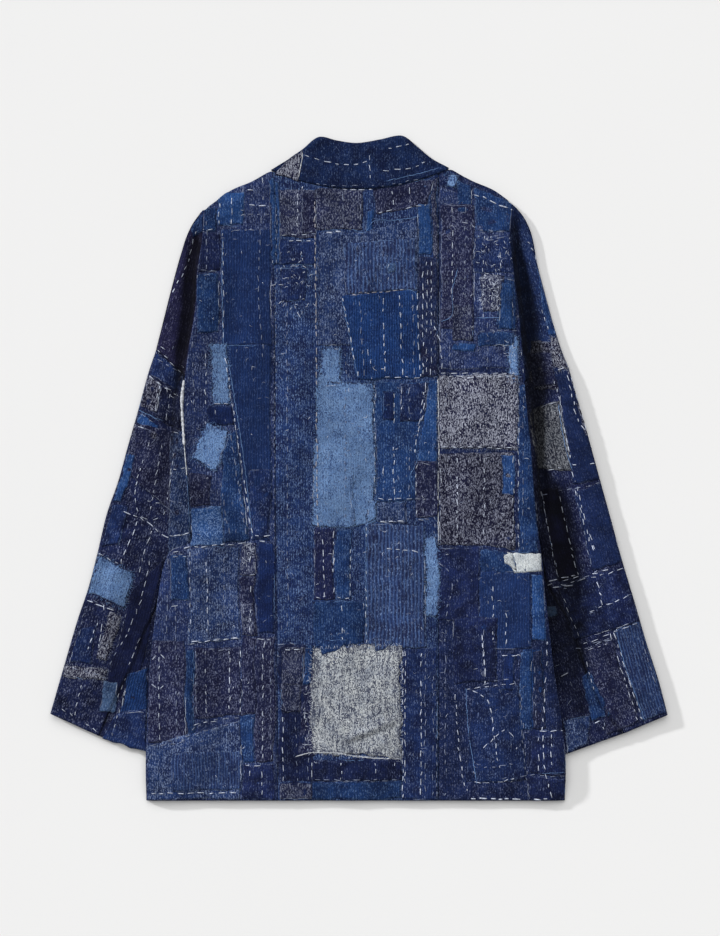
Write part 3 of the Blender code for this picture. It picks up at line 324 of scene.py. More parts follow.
# The patches of each panel: its cloth, four corners, and the sides that are stitched.
PATCH_ROWS = {
    "back_centre": [
        ("navy", (-9.9, 19.4), (-5.6, 19.4), (-5.8, 0.2), (-9.9, 0.2), ""),
        ("grey", (-9.9, 76.5), (-5.2, 76.4), (-5.2, 70.6), (-9.9, 70.6), "lb"),
        ("grey", (-5.2, 76.4), (0.5, 76.5), (0.5, 71.4), (-5.2, 71.4), "r"),
        ("bright", (1, 73.8), (1.9, 74), (1.8, 71.1), (1, 71.1), ""),
        ("brown", (1.8, 76.9), (9.5, 77.8), (8.8, 74.5), (2.2, 73.4), "b"),
        ("bright", (7.5, 74.5), (9.2, 74.5), (9.2, 68.4), (7.5, 68.4), ""),
        ("denim", (-4.9, 71.1), (0.5, 71), (0.5, 57), (-4.9, 57), ""),
        ("denim", (0.5, 71), (7.5, 73.1), (7.6, 63.6), (0.5, 63.6), ""),
        ("ribs", (-1.8, 69.6), (7.2, 70.4), (7.3, 63.9), (-1.6, 63.4), ""),
        ("grey", (9.4, 77.8), (9.9, 78.1), (9.9, 62.6), (9.2, 62.6), ""),
        ("brownmelange", (7.6, 68.1), (9.9, 68.1), (9.9, 53), (7.6, 53), ""),
        ("bright", (-10.3, 77.6), (-9.8, 77.4), (-9.8, 67), (-10.3, 67), ""),
        ("midnavy", (-9.9, 70.2), (-5.2, 70.2), (-5.2, 67), (-9.9, 67), ""),
        ("midnavy", (-9.8, 66.6), (-6.2, 66.6), (-6.8, 62.6), (-9.5, 62.6), ""),
        ("twill", (-2.2, 63.2), (7.5, 63.9), (8, 52.8), (-0.1, 52.8), "lrb"),
        ("pale", (-4.6, 56.6), (-2.1, 56.6), (-2.1, 51.9), (-4.9, 51.9), ""),
        ("pale", (-5.1, 52.4), (2, 52.4), (2.1, 34.2), (-5.8, 34.2), ""),
        ("blue", (2.2, 52.4), (8.6, 52.4), (8.6, 37.5), (2.2, 37.5), "b"),
        ("bright", (8.8, 52.5), (9.9, 52.5), (9.9, 41.6), (7.4, 42.4), ""),
        ("brown", (7.2, 42.5), (9.9, 42.5), (9.9, 35.5), (7.2, 35.5), "l"),
        ("denim", (2.4, 37.4), (6.1, 37.4), (6.1, 34.8), (2.4, 34.8), "b"),
        ("darkbrown", (-5.5, 34.2), (-3, 34.2), (-3, 25.1), (-5.5, 25.1), "lrb"),
        ("blue", (-2.8, 33.9), (-0.9, 33.9), (-0.9, 25.1), (-2.8, 25.1), "rb"),
        ("blue", (-5.5, 24.9), (0.9, 24.9), (0.9, 19.5), (-5.5, 19.1), ""),
        ("ribs", (0.9, 34.6), (8.4, 34.6), (8.4, 19.2), (0.9, 19.2), "l"),
        ("pale", (8.35, 33.1), (10.1, 33.1), (10.1, 22.9), (8.5, 22.9), ""),
        ("brown", (-6.9, 19.1), (-5.5, 19.1), (-5.5, 5.5), (-7.5, 5.5), ""),
        ("white", (-5.8, 19), (5.4, 19.5), (5.4, 5.2), (-5.8, 6), ""),
        ("ribs", (2, 20.1), (4.5, 20.1), (3.5, 18.9), (2.4, 18.4), ""),
        ("blue", (-5.1, 20.1), (-1, 20.1), (-2.5, 18.9), (-4.6, 18.2), ""),
        ("midnavy", (5.5, 19.2), (9.9, 19.2), (9.9, 0.1), (5.5, 0.1), "l"),
        ("navy", (-5.8, 5.1), (5.4, 5.1), (5.4, 2.5), (-5.8, 2.5), "b"),
        ("blue", (-5.8, 2.4), (5.4, 2.4), (5.4, 0.2), (-5.8, 0.2), ""),
        ("grey", (-9.4, 19.1), (-6.9, 19.1), (-6.9, 14.5), (-9.4, 14.5), "t"),
        ("blue", (-6.8, 19.4), (-5.8, 19.4), (-5.9, 14.5), (-6.8, 14.5), ""),
        ("grey", (-9.6, 14.6), (-6.9, 14.6), (-7.2, 11.1), (-9.6, 11.1), ""),
        ("grey", (-9.8, 2.1), (-5.8, 2.1), (-5.8, 0.2), (-9.8, 0.2), ""),
        ("brown", (-7, 76.1), (-5.2, 76.1), (-5.2, 71.1), (-7, 71.1), ""),
        ("faded", (3.5, 67.2), (4.6, 67.3), (4.7, 66.2), (3.7, 65.9), ""),
        ("faded", (-0.85, 40.6), (-0.45, 40.6), (-0.4, 34.4), (-0.8, 34.4), ""),
        ("deep", (3.2, 51.1), (4.5, 51.1), (4.5, 47.6), (3.2, 47.6), ""),
        ("midnavy", (5.2, 52.2), (8.8, 52.2), (8.2, 47.5), (5.2, 47.5), ""),
        ("pale", (1.4, 37.6), (2.6, 37.6), (2.2, 35), (1, 34.4), ""),
    ],
    "back_left": [
        ("bright", (-17.5, 76.1), (-14.2, 76.1), (-14.2, 71.9), (-17.5, 71.9), "l"),
        ("ribnavy", (-17, 71.4), (-10.9, 71.4), (-10.9, 56.9), (-16.9, 56.9), "l"),
        ("ribnavy", (-16.9, 57), (-10.9, 57), (-10.9, 32.5), (-13.2, 32.5), "l"),
        ("blue", (-20.2, 65.8), (-17.4, 65.8), (-17.4, 58.5), (-20.1, 58.5), ""),
        ("pale", (-18.5, 57.1), (-16.2, 57.1), (-16.1, 49.4), (-18.2, 49.4), "b"),
        ("deep", (-18.8, 49.2), (-15.8, 49.2), (-15.5, 47.1), (-18.8, 47.1), ""),
        ("blue", (-17, 45.1), (-15.2, 46.4), (-13.6, 32.5), (-17, 32.5), ""),
        ("pale", (-18.8, 47.5), (-15.9, 46.2), (-17.8, 41.1), (-21, 42.9), ""),
        ("brown", (-21.1, 40.9), (-18.4, 40.9), (-18.4, 36.8), (-21, 36.8), ""),
        ("cross", (-21, 36.6), (-17, 36.6), (-17, 32), (-21, 32), ""),
        ("midnavy", (-13.7, 41.4), (-10.9, 41.4), (-10.9, 32.8), (-13.1, 32.8), "b"),
        ("denim", (-21.1, 31.6), (-14.8, 31.9), (-14.8, 20.1), (-21.1, 19.6), "lb"),
        ("grey", (-14.6, 32.2), (-12.8, 32.2), (-12.8, 28.1), (-14.6, 28.1), ""),
        ("deep", (-12.6, 32.2), (-10.5, 32.2), (-10.5, 21), (-12.6, 21), ""),
        ("brown", (-14.6, 28), (-12.8, 28), (-12.8, 20.6), (-14.6, 20.6), ""),
        ("blue", (-23.4, 30.8), (-21.2, 30.8), (-21.2, 25.1), (-23.4, 25.1), "t"),
        ("brown", (-26.2, 20.1), (-21.5, 20.1), (-21.5, 7.4), (-26.2, 7.4), ""),
        ("brown", (-20.4, 19.2), (-14.6, 19.2), (-14.6, 10.8), (-20.4, 10.4), "tlr"),
        ("blue", (-21.5, 18.9), (-20.5, 18.9), (-20.5, 8.2), (-21.5, 8.2), ""),
        ("brown", (-12.8, 20.5), (-10.4, 20.5), (-10.4, 4.9), (-12.8, 4.9), "t"),
        ("blue", (-14.6, 10.6), (-12.9, 10.9), (-12.9, 4.9), (-14.6, 4.9), ""),
        ("denim", (-26.4, 7), (-14.6, 10.1), (-14.6, 0.1), (-26.4, 0.1), "t"),
        ("finerib", (-23.1, 6.1), (-14.6, 6.2), (-14.6, 1.4), (-23.1, 1.1), ""),
        ("navy", (-14.4, 4.6), (-10.4, 4.6), (-10.4, 0.1), (-14.4, 0.1), "t"),
        ("blue", (-20.2, 74.2), (-17.6, 74.2), (-17.6, 71.2), (-20.2, 71.2), "b"),
        ("navy", (-19.8, 71), (-17.2, 71), (-17.2, 66.1), (-20, 66.1), ""),
        ("bright", (-11.1, 77.7), (-10.3, 77.9), (-10.3, 67), (-10.8, 67), ""),
        ("grey", (-14.6, 24.6), (-13, 24.6), (-13, 20.6), (-14.6, 20.6), ""),
        ("brown", (-14.5, 20.5), (-12.8, 20.5), (-12.8, 11), (-14.5, 10.8), ""),
    ],
    "back_right": [
        ("backleft", (10.3, 77.2), (19.3, 73), (19.8, 54), (10.2, 54), ""),
        ("blue", (14.5, 76.9), (19.5, 74.5), (19.1, 71.1), (14.8, 71.5), ""),
        ("midnavy", (14.5, 70.6), (19.5, 70.6), (19.5, 65.8), (14.5, 66.1), ""),
        ("blue", (12.4, 77.9), (14.2, 77), (14.2, 72.4), (12.5, 72.4), ""),
        ("brown", (10.4, 74.5), (14.5, 74.5), (14.5, 58.9), (10.4, 58.9), ""),
        ("blue", (17.4, 65.4), (19.6, 65.4), (19.8, 58.9), (17.4, 58.9), "t"),
        ("grey", (11.8, 62.2), (14.4, 62.2), (14.4, 57.6), (11.8, 57.6), ""),
        ("pale", (18.6, 58), (20, 58), (20.1, 52.4), (18.8, 52.4), ""),
        ("speckle", (10, 53.2), (19.9, 53.2), (19.9, 43.9), (10, 44.1), "tb"),
        ("speckledark", (10.1, 43.5), (19.5, 43.5), (19.5, 31.6), (10.1, 32), "lr"),
        ("bright", (18, 43.2), (19.5, 43.2), (19.5, 38.2), (18, 38.2), "b"),
        ("blue", (20, 52.1), (21.5, 52.1), (22.5, 31.1), (20, 31.1), "l"),
        ("navy", (10, 31.6), (15.2, 31.6), (15.2, 22.6), (10, 22.6), ""),
        ("blue", (15.2, 31.1), (19.8, 31.1), (21.6, 28.4), (15.2, 28.4), ""),
        ("ribnavy", (15.2, 28.6), (21.5, 28.6), (21.6, 19), (15.2, 19), ""),
        ("paper", (18.6, 31.2), (22.9, 31), (23, 28.7), (19.6, 28.6), ""),
        ("paper", (18.3, 30.8), (19.3, 31.1), (19.9, 28.9), (18.5, 29.8), ""),
        ("bright", (21.5, 28.2), (23.1, 28.2), (23.6, 20), (21.7, 20), ""),
        ("navy", (11.9, 22.9), (17.4, 22.9), (17.4, 14.8), (11.9, 14.8), ""),
        ("twill", (20.5, 18.9), (23, 18.9), (23.4, 9.1), (20.5, 9.1), ""),
        ("midnavy", (14.4, 13.9), (20, 14.6), (21, 2.6), (13.5, 2.1), ""),
        ("navy", (21.1, 9), (26, 9), (26, 3.4), (21.1, 3.4), "t"),
        ("navy", (21.2, 3.1), (25.9, 3.1), (25.9, 0.1), (21.2, 0.1), ""),
        ("grey", (15.4, 66.1), (18.1, 65.5), (17.8, 61.1), (15.6, 61.1), ""),
        ("bright", (17.8, 64.8), (19.2, 64.6), (19.4, 58.9), (17.6, 58.9), ""),
        ("blue", (15, 58.5), (19.4, 58.6), (19.5, 56.9), (15, 56.9), ""),
        ("bright", (11.8, 57.2), (14.8, 57.4), (14.6, 56.4), (11.8, 56.4), ""),
        ("pale", (11, 78.6), (12.3, 78.2), (12.4, 76.8), (11.2, 77), ""),
        ("deep", (18.2, 18.5), (19.5, 18.5), (19.5, 13.9), (18.2, 13.9), ""),
        ("blue", (20.2, 18.6), (21.6, 18.6), (21.6, 8.9), (20.2, 8.9), ""),
        ("brownmelange", (21.8, 18.6), (22.9, 18.9), (23.4, 9.1), (21.8, 8.9), ""),
        ("navy", (21.5, 8), (26, 8.2), (26, 3.6), (21.5, 3.4), ""),
    ],
    "arm_left": [
        ("midnavy", (-25.6, 56.4), (-21.8, 53.1), (-22, 51.1), (-26.5, 53.6), ""),
        ("blue", (-21.2, 72.4), (-19.5, 74), (-19.3, 71.2), (-20.6, 70.4), ""),
        ("sleeveleft", (-26.4, 53.4), (-21.9, 50.4), (-22.1, 46.4), (-27.4, 48.8), "t"),
        ("speckledark", (-26.2, 53.2), (-24.6, 52.2), (-25.2, 48.5), (-27.5, 49.5), ""),
        ("bright", (-27.4, 48.6), (-24.9, 46.8), (-25.1, 45.5), (-27.9, 47.2), ""),
        ("speckledark", (-28.1, 47.1), (-24.8, 46), (-26, 44.4), (-28.6, 45.1), ""),
        ("brown", (-27.8, 47.1), (-22, 46.1), (-22.2, 35.1), (-29.2, 41.4), "t"),
        ("bright", (-28.8, 43.6), (-27.7, 43.2), (-29.6, 37.4), (-30.7, 37.4), ""),
        ("denim", (-23.5, 46.1), (-21.2, 46.4), (-21, 31.6), (-23.6, 30.1), ""),
        ("pale", (-32.6, 30.9), (-27.9, 28.5), (-29.2, 23.8), (-33.8, 26.1), ""),
        ("ink", (-28.1, 26.6), (-24.4, 30.1), (-27.8, 12.6), (-31.7, 13.9), ""),
        ("speckle", (-31.1, 23.4), (-29.6, 23.2), (-31.4, 17.4), (-32.6, 17.8), ""),
        ("midnavy", (-34.8, 21.6), (-32.8, 22), (-33.2, 17.1), (-36, 17.6), ""),
        ("speckle", (-36.8, 17.1), (-31.2, 16.4), (-31.5, 15.1), (-37.2, 15.5), ""),
        ("faded", (-31.8, 15.1), (-30.1, 15), (-30.5, 11), (-32.3, 11.1), ""),
        ("twill", (-28.8, 15.8), (-26.4, 16.6), (-26.4, 11), (-29.8, 11), ""),
        ("midnavy", (-30, 11.1), (-26.4, 11.4), (-26.4, 6.1), (-31.8, 7.8), ""),
        ("midnavy", (-30.5, 37.2), (-28.6, 36.8), (-30, 31.9), (-32.1, 31.9), ""),
    ],
    "arm_right": [
        ("blue", (22.2, 67.4), (23.5, 66.6), (26.2, 58.2), (23.8, 58.2), ""),
        ("speckledark", (21.6, 57.4), (24.4, 57.4), (25.4, 51.4), (21.4, 51.4), ""),
        ("speckle", (23.9, 58), (26.5, 58), (27.5, 54.1), (24.7, 53.6), "b"),
        ("brown", (20.8, 56.1), (24.4, 56.1), (25, 52), (21.5, 51.6), ""),
        ("olive", (21.4, 48.8), (25.1, 50), (26.9, 41.4), (22.4, 41.4), ""),
        ("indigo", (24.6, 54.4), (27.8, 53.4), (30.6, 40.1), (26.9, 39.9), ""),
        ("speckledark", (26.3, 54.2), (27.6, 53.8), (29, 45.8), (28.4, 45.8), ""),
        # laid in the body's shadow on the arm, so its darkness is partly painted shade
        ("black", (22.8, 38.9), (25.2, 39.1), (27.5, 27.9), (25, 27.6), "l"),
        ("indigo", (27.1, 38.9), (30.8, 39.8), (33.2, 30.1), (29.2, 28.6), "l"),
        ("navy", (25.2, 27), (34, 29.4), (35.2, 22.4), (27.2, 20.1), "t"),
        ("finerib", (31.8, 21.4), (35.4, 22.4), (38.9, 11.1), (35.5, 9.9), "l"),
        ("brown", (28.4, 18.9), (31.6, 20.1), (35.2, 9.9), (31.1, 8.4), "t"),
        ("blue", (27.9, 15.4), (29, 16.2), (31.4, 10.9), (29.2, 9.9), ""),
        ("denim", (25.7, 10.2), (29, 10.6), (28.8, 6.8), (26.2, 5.9), ""),
        ("faded", (23.4, 24.4), (24.8, 24.6), (25, 23.2), (23.6, 22.8), ""),
    ],
    "collar": [
        ("speckle", (-8.4, 80.6), (-7, 81.5), (-7.4, 77.5), (-10.4, 78.4), ""),
    ],
}
# The lines of stitches on each panel: the thread, and the places it runs through.
STITCH_ROWS = {
    "body": [
        ("w", (-7, 76.4), (-7, 76.9)),
        ("dim", (-5.2, 76.4), (-5.2, 56.8)),
        ("tan", (-5.4, 75.1), (-5.1, 34.2)),
        ("w", (-1.9, 76.1), (-1.9, 71.6)),
        ("w", (0.2, 62.6), (0.8, 52.9)),
        ("w", (3.1, 63.1), (3.4, 52.9)),
        ("w", (5.2, 63.4), (5.6, 52.9)),
        ("w", (6.8, 63.5), (7, 52.9)),
        ("w", (8.6, 67.6), (8.6, 53.1)),
        ("w", (9.2, 67.6), (9.1, 53.1)),
        ("dim", (-1.6, 56.1), (-1.5, 52.9)),
        ("dim", (-1.6, 51.6), (-1.6, 34.9)),
        ("w", (2.1, 52.2), (2.1, 37.9)),
        ("w", (3.2, 41.8), (3.2, 38.2)),
        ("w", (4.5, 51.1), (4.5, 37.6)),
        ("w", (5.4, 51.9), (5.4, 48.9)),
        ("w", (6.4, 51.9), (6.4, 47.6)),
        ("w", (6.4, 43.1), (6.4, 38)),
        ("w", (8.5, 52.5), (7.1, 43.5)),
        ("w", (8.2, 42.1), (8.2, 35.9)),
        ("w", (2.6, 34.9), (5.9, 34.9)),
        ("w", (7.4, 35.6), (9.2, 35)),
        ("w", (-4.4, 33.9), (-4.2, 25.4)),
        ("w", (-2, 24.6), (-2, 20.1)),
        ("blue", (1, 34.4), (1, 20.1)),
        ("w", (-8.9, 62.6), (-8.8, 19.8)),
        ("w", (-10.2, 19.6), (-7.2, 19.6)),
        ("w", (5.9, 18.9), (5.9, 2.6)),
        ("w", (7.9, 18.6), (7.9, 0.6)),
        ("w", (8.4, 18.6), (8.4, 0.6)),
        ("w", (9.4, 18.9), (9.4, 0.6)),
        ("w", (-5.8, 4.9), (-5.8, 2.6)),
        ("w", (-2.1, 4.9), (-2.1, 2.6)),
        ("w", (2.2, 4.9), (2.2, 2.6)),
        ("w", (4.6, 4.9), (4.6, 2.6)),
        ("w", (-9.4, 10.6), (-9.4, 2.4)),
        ("w", (-7.8, 10.6), (-7.6, 2.4)),
        ("w", (-6.2, 10.1), (-6.2, 2.4)),
        ("w", (3.4, 31.6), (7.8, 31.1)),
        ("w", (-8.8, 70.1), (-5.8, 70.1)),
        ("w", (-7.6, 76.1), (-7.6, 71.1)),
        ("w", (4.2, 76.4), (4.4, 74.1)),
        ("w", (6.5, 76.9), (6.5, 74.8)),
        ("w", (-12.1, 73.2), (-12.4, 62.4), (-11.8, 55)),
        ("w", (-16, 46), (-14, 33.1)),
        ("w", (-17.2, 39.9), (-16, 32.8)),
        ("blue", (-16.2, 55.1), (-14, 40.5), (-13.2, 33)),
        ("w", (-19, 57.6), (-19, 47.1)),
        ("w", (-20.6, 57.6), (-20.5, 48.6)),
        ("w", (-21.9, 31.6), (-11.2, 32.5)),
        ("w", (-21.1, 19.6), (-15, 20.5)),
        ("w", (-18.9, 30.1), (-18.8, 21.1)),
        ("w", (-16.8, 30.6), (-16.8, 21.1)),
        ("w", (-23.5, 24.4), (-21.5, 24.6)),
        ("w", (-22.8, 24.6), (-22.6, 7.4)),
        ("w", (-24.8, 19.6), (-24.8, 7.6)),
        ("w", (-26.1, 7), (-21.5, 7.8), (-20.4, 9.2), (-14.6, 10.5)),
        ("w", (-19.1, 18.9), (-19, 10.9)),
        ("w", (-16, 18.9), (-16.1, 10.9)),
        ("w", (-11.9, 20.1), (-11.9, 5.1)),
        ("w", (-10.9, 20.1), (-10.9, 5.1)),
        ("w", (-26, 1), (-14.8, 1)),
        ("w", (-13.5, 3.9), (-13.5, 0.6)),
        ("w", (-12, 3.9), (-12, 0.6)),
        ("w", (-15.8, 75.6), (-15.8, 72.1)),
        ("w", (-18.9, 72.6), (-18.9, 66.4)),
        ("w", (-19.8, 66.4), (-17.5, 66.1)),
        ("w", (-13.5, 32), (-13.5, 20.9)),
        ("thick", (14.3, 75.9), (16.8, 75), (19.5, 73.8)),
        ("thick", (-13.8, 74.5), (-11.2, 74.4)),
        ("w", (15, 71.4), (18.8, 71.1)),
        ("w", (11.8, 74.5), (11.8, 62.6)),
        ("w", (13.5, 74.5), (13.4, 62.6)),
        ("w", (15.8, 70.8), (15.6, 65.8)),
        ("w", (17.6, 70.1), (17.8, 65.6)),
        ("w", (10.2, 53.5), (19.8, 53.4)),
        ("w", (11.5, 57), (11.5, 53.6)),
        ("w", (16.2, 60.1), (16.2, 53.9)),
        ("w", (20.6, 51.9), (20.6, 31.4)),
        ("w", (12.4, 43.1), (12.4, 32)),
        ("w", (15.8, 43.1), (15.8, 32)),
        ("w", (9.9, 29.9), (11.5, 28.5), (11, 23)),
        ("w", (15.8, 22.9), (15.6, 14.8)),
        ("w", (17.8, 18.2), (20, 18.2)),
        ("w", (12.1, 13.5), (13.2, 2.9), (13.6, 1.2)),
        ("w", (14.2, 13.9), (15.9, 13), (16.6, 11.2), (17, 8.1), (17.6, 4.1)),
        ("w", (14.4, 14), (19.6, 14.8), (20.1, 14.2), (20.4, 10.9), (20.8, 7.6), (21.1, 2.6)),
        ("w", (14.4, 2.5), (15.8, 2.2), (19.5, 2.9)),
        ("w", (15.5, 6.5), (16.5, 7.4), (18.6, 8.8), (19.6, 7.8), (19.8, 6.5)),
        ("w", (10.9, 22.6), (10.9, 0.6)),
        ("w", (22.5, 8.2), (22.5, 3.6)),
        ("w", (24.1, 8.6), (24.2, 3.6)),
        ("w", (22, 18.2), (22.2, 9.5)),
        ("w", (18.4, 25.1), (18.5, 19.1)),
        ("w", (16.9, 27), (16.9, 20.1)),
        ("dim", (-10.2, 74.5), (-10.5, 32.6)),
        ("dim", (9.6, 62), (9.6, 52.6)),
        ("dim", (9.6, 41.4), (9.6, 32.6)),
        ("w", (-11, 64.5), (-9.2, 64.5), (-8.2, 62.6)),
        ("w", (-11, 61.4), (-9.5, 62.6)),
        ("w", (-8.1, 62), (-6.9, 60.1)),
        ("w", (-8.2, 66.6), (-7.2, 67), (-6.2, 66.5)),
        ("w", (12.8, 72.4), (13.8, 72.2), (14.8, 71.6)),
        ("w", (15, 71.2), (18.8, 71.1)),
        ("w", (15.9, 70.1), (18.4, 70.4)),
        ("blue", (14.9, 60.4), (17.8, 60.4)),
        ("w", (15, 58.8), (20.1, 58.8)),
        ("blue", (12.5, 66.6), (11.8, 63.9), (11.5, 60.4), (10.2, 59.9)),
        ("w", (9.9, 12.6), (9.9, 0.1)),
        ("thick", (15.5, 20.9), (15.8, 17.6), (15.9, 14.6)),
        ("w", (13.5, 13.9), (19.6, 14.8)),
        ("w", (15.6, 4.1), (19.9, 4.8)),
        ("w", (17.8, 2.8), (20.9, 3.2), (26, 3.1)),
        ("w", (23.6, 20.1), (23.6, 2.6), (24.2, 0.1)),
        ("w", (20.1, 13.9), (20.9, 3.9), (21.5, 0.1)),
        ("blue", (13.5, 14.1), (13.8, 8.9), (14.9, 2)),
        ("w", (-23.8, 32), (-23.8, 20.8)),
        ("w", (-25.8, 17.6), (-24.8, 18.4), (-23.8, 17.6)),
        ("w", (-25.8, 14.8), (-24.8, 14), (-23.9, 14.8)),
        ("w", (-20.8, 9.4), (-18.9, 9.9), (-17, 10.1)),
        ("thick", (14, 0.2), (20.2, 0.2), (25.8, 0.2)),
        ("w", (-14.4, 76.8), (-14.4, 75.6)),
        ("w", (-14, 76.4), (-12.8, 76.4)),
        ("w", (-11.9, 78.2), (-11.9, 75)),
        ("w", (-14, 73.4), (-11, 73.4)),
        ("blue", (-0.8, 71.5), (0.8, 71.1), (1.8, 72.4), (4.6, 72.6), (7.8, 73.1)),
        ("blue", (-16.9, 70.4), (-17, 63.9), (-16.8, 57)),
        ("thick", (-4.1, 71.1), (-2.1, 71.2)),
        ("w", (-7.2, 70.9), (-5, 70.9)),
        ("thick", (-2.1, 76.9), (1.8, 77.1)),
        ("tan", (-1, 63.4), (2.8, 63.6), (5.9, 64)),
        ("blue", (5.9, 64), (6.8, 63.8), (7.5, 63)),
        ("blue", (-2, 62.6), (-1.2, 58.9), (0, 52.8)),
        ("w", (1.2, 57.9), (1.4, 55.4), (2.1, 53.9), (3.5, 54.1)),
        ("w", (8.1, 66.4), (8.1, 53.2)),
        ("w", (9.5, 59.5), (10.2, 57.4), (10.5, 53.6)),
        ("dim", (5.5, 62.2), (5.5, 56.4)),
        ("w", (8.4, 52.1), (8.4, 50.1), (7.6, 46.4), (7.1, 43.6)),
        ("blue", (7.8, 43.6), (7.2, 42), (6.5, 40.4), (7, 38.9)),
        ("blue", (2.6, 35.1), (1.5, 34.8), (0.8, 33.9), (1, 33)),
        ("thick", (3, 34.9), (6.1, 34.8)),
        ("thick", (7.4, 35.1), (9.8, 35.1)),
        ("dim", (3.2, 42), (3.2, 37.6)),
        ("dim", (6.1, 43.2), (6.1, 40.1)),
        ("fine", (10, 52.8), (10.1, 43), (10, 38), (10.1, 32.2)),
        ("w", (5.4, 52.1), (5.4, 48.5)),
        ("fine", (-7.9, 5.5), (-5.8, 6), (-3.5, 6), (0.9, 5.4), (5.5, 5.2)),
        ("w", (11.4, 52.6), (10.4, 46.4)),
        ("w", (-23.2, 31), (-21.9, 31.4)),
        ("thick", (-22.5, 30.8), (-21.4, 30.8)),
    ],
    "arm_left": [
        ("w", (-20.2, 71.4), (-21.5, 66.9), (-23.2, 63.5)),
        ("w", (-20.9, 59.8), (-23.6, 55.9)),
        ("w", (-25.2, 56.5), (-21.6, 53.1)),
        ("w", (-24.9, 56.9), (-21.4, 53.8)),
        ("w", (-24.8, 52.1), (-25.5, 48.1)),
        ("w", (-23.5, 51.1), (-24, 47.1)),
        ("w", (-26, 45.1), (-27.8, 37.6), (-27.5, 36.1), (-24.8, 34.4)),
        ("w", (-24.5, 44.6), (-26, 36.4)),
        ("w", (-23, 43.6), (-23.8, 37.6)),
        ("w", (-23.8, 37.6), (-22, 37.2)),
        ("w", (-23.2, 33.2), (-21.2, 33.5)),
        ("w", (-23.2, 41.4), (-21.5, 41.5)),
        ("thick", (-29.4, 36.4), (-26, 34.6), (-23.8, 33), (-21, 33.5)),
        ("w", (-27.5, 35.1), (-29.8, 29.4)),
        ("w", (-25.8, 33.9), (-27.5, 28.2)),
        ("w", (-33.2, 25.1), (-29.8, 23.6)),
        ("w", (-26, 30.1), (-27.2, 25.1), (-29.8, 18.9)),
        ("w", (-29, 23.6), (-30.2, 18.9), (-31.2, 16.6)),
        ("w", (-34.2, 23.6), (-35.2, 20.1), (-36.2, 17.1)),
        ("w", (-32.5, 22.4), (-33.8, 18.9)),
        ("w", (-37, 17.1), (-30.8, 15.1)),
        ("w", (-27.2, 20.6), (-30.2, 12.6)),
        ("w", (-34.5, 14.6), (-35.5, 10.6)),
        ("w", (-29, 13.9), (-30.8, 8.1)),
        ("w", (-37.2, 11.6), (-32.5, 8.6)),
        ("w", (-24.1, 25.1), (-24.8, 20.1)),
        ("edge", (-21.6, 52.6), (-21.7, 50.1), (-21.6, 47), (-21.5, 44.4)),
        ("fine", (-21.6, 44.5), (-21.3, 40.9)),
        ("blue", (-21.2, 40.9), (-21, 35.1), (-21, 32)),
        ("fine", (-21.2, 44.4), (-21.1, 40.6)),
        ("w", (-24.8, 52.1), (-24.8, 50.1), (-23.5, 48.6)),
        ("w", (-23.9, 51.9), (-23.5, 50.6), (-22.6, 50)),
        ("w", (-24.5, 41.1), (-23.2, 41)),
        ("w", (-23.8, 33.1), (-22.2, 33.2), (-21.2, 33.4)),
        ("w", (-26.5, 37.6), (-24.1, 36.8), (-24.8, 35.4), (-25.8, 35.1)),
        ("blue", (-27.5, 48.9), (-26, 48.2), (-25, 47.5)),
        ("w", (-26, 55.8), (-24, 54.6), (-21.8, 53.1)),
        ("w", (-32.6, 31.1), (-30.8, 30.1), (-28.5, 29.4)),
        ("thick", (-31.6, 24.6), (-32.4, 19)),
        ("w", (-30.2, 24.4), (-31.7, 17.6)),
        ("thick", (-34, 25.1), (-30, 23.6)),
    ],
    "arm_right": [
        ("w", (22.9, 38.9), (25, 27.9)),
        ("w", (25.2, 38.2), (27.5, 28.2)),
        ("w", (27.1, 38.9), (29.4, 31.1)),
        ("w", (22.8, 38.2), (30.2, 39.8)),
        ("w", (23.5, 27), (31.5, 28.9)),
        ("w", (28.8, 23.4), (34.1, 25.8)),
        ("w", (27.1, 19.1), (35.2, 22.4)),
        ("w", (23.4, 57.6), (26.8, 53.9)),
        ("w", (24.2, 53.6), (25.2, 50.1)),
        ("w", (26.9, 53.1), (29, 45.1)),
        ("w", (25.2, 48.9), (26.9, 41.4)),
        ("w", (31.5, 21.1), (35, 10.1)),
        ("w", (28.2, 18.6), (30.8, 8.9)),
        ("w", (25.2, 26.4), (27.8, 20.1)),
        ("w", (22.5, 62.6), (23.8, 58.9)),
        ("w", (29.8, 27.6), (30.6, 24.4)),
        ("w", (23.5, 41.4), (30.2, 42.4)),
        ("w", (35.5, 20.1), (37.8, 12.6)),
        ("w", (21.2, 70.1), (22.8, 67.4)),
        ("blue", (25.1, 49.6), (25.5, 46.4), (26.2, 43.2), (26.8, 41.4)),
        ("w", (26.1, 53.4), (26.8, 50.6), (27.5, 47.6), (28.4, 46)),
        ("w", (26.8, 41.4), (27.8, 37.6), (28.8, 33.9), (29.6, 31.4)),
        ("thick", (22, 37.6), (21.9, 34.4)),
        ("w", (25.6, 26.4), (27.8, 27.6), (29.9, 28.9)),
        ("w", (25.2, 27.1), (26.8, 26.6)),
        ("w", (28.9, 23.5), (34.1, 25.8)),
        ("thick", (27.1, 19.1), (29, 19.1), (30.2, 19.8), (32.2, 20.1)),
        ("thick", (29.2, 19.5), (31.8, 20.4)),
        ("blue", (32.5, 20.1), (34, 15.1), (35.2, 12), (35.9, 9.9)),
        ("w", (26.5, 15.1), (26.8, 13.2), (26.1, 11.6)),
        ("w", (29.5, 9.6), (30.5, 10.2)),
        ("w", (30.8, 9.9), (31.2, 7.6)),
        ("thick", (23.6, 27.5), (27.2, 28.1)),
        ("thick", (24.2, 26.5), (27, 27)),
        ("thick", (24.4, 16.6), (26.2, 17.4)),
        ("thick", (25.2, 15.4), (27.5, 16.4)),
    ],
    "collar": [
        ("fine", (-6.95, 81.1), (-7.1, 80), (-7.45, 77.9)),
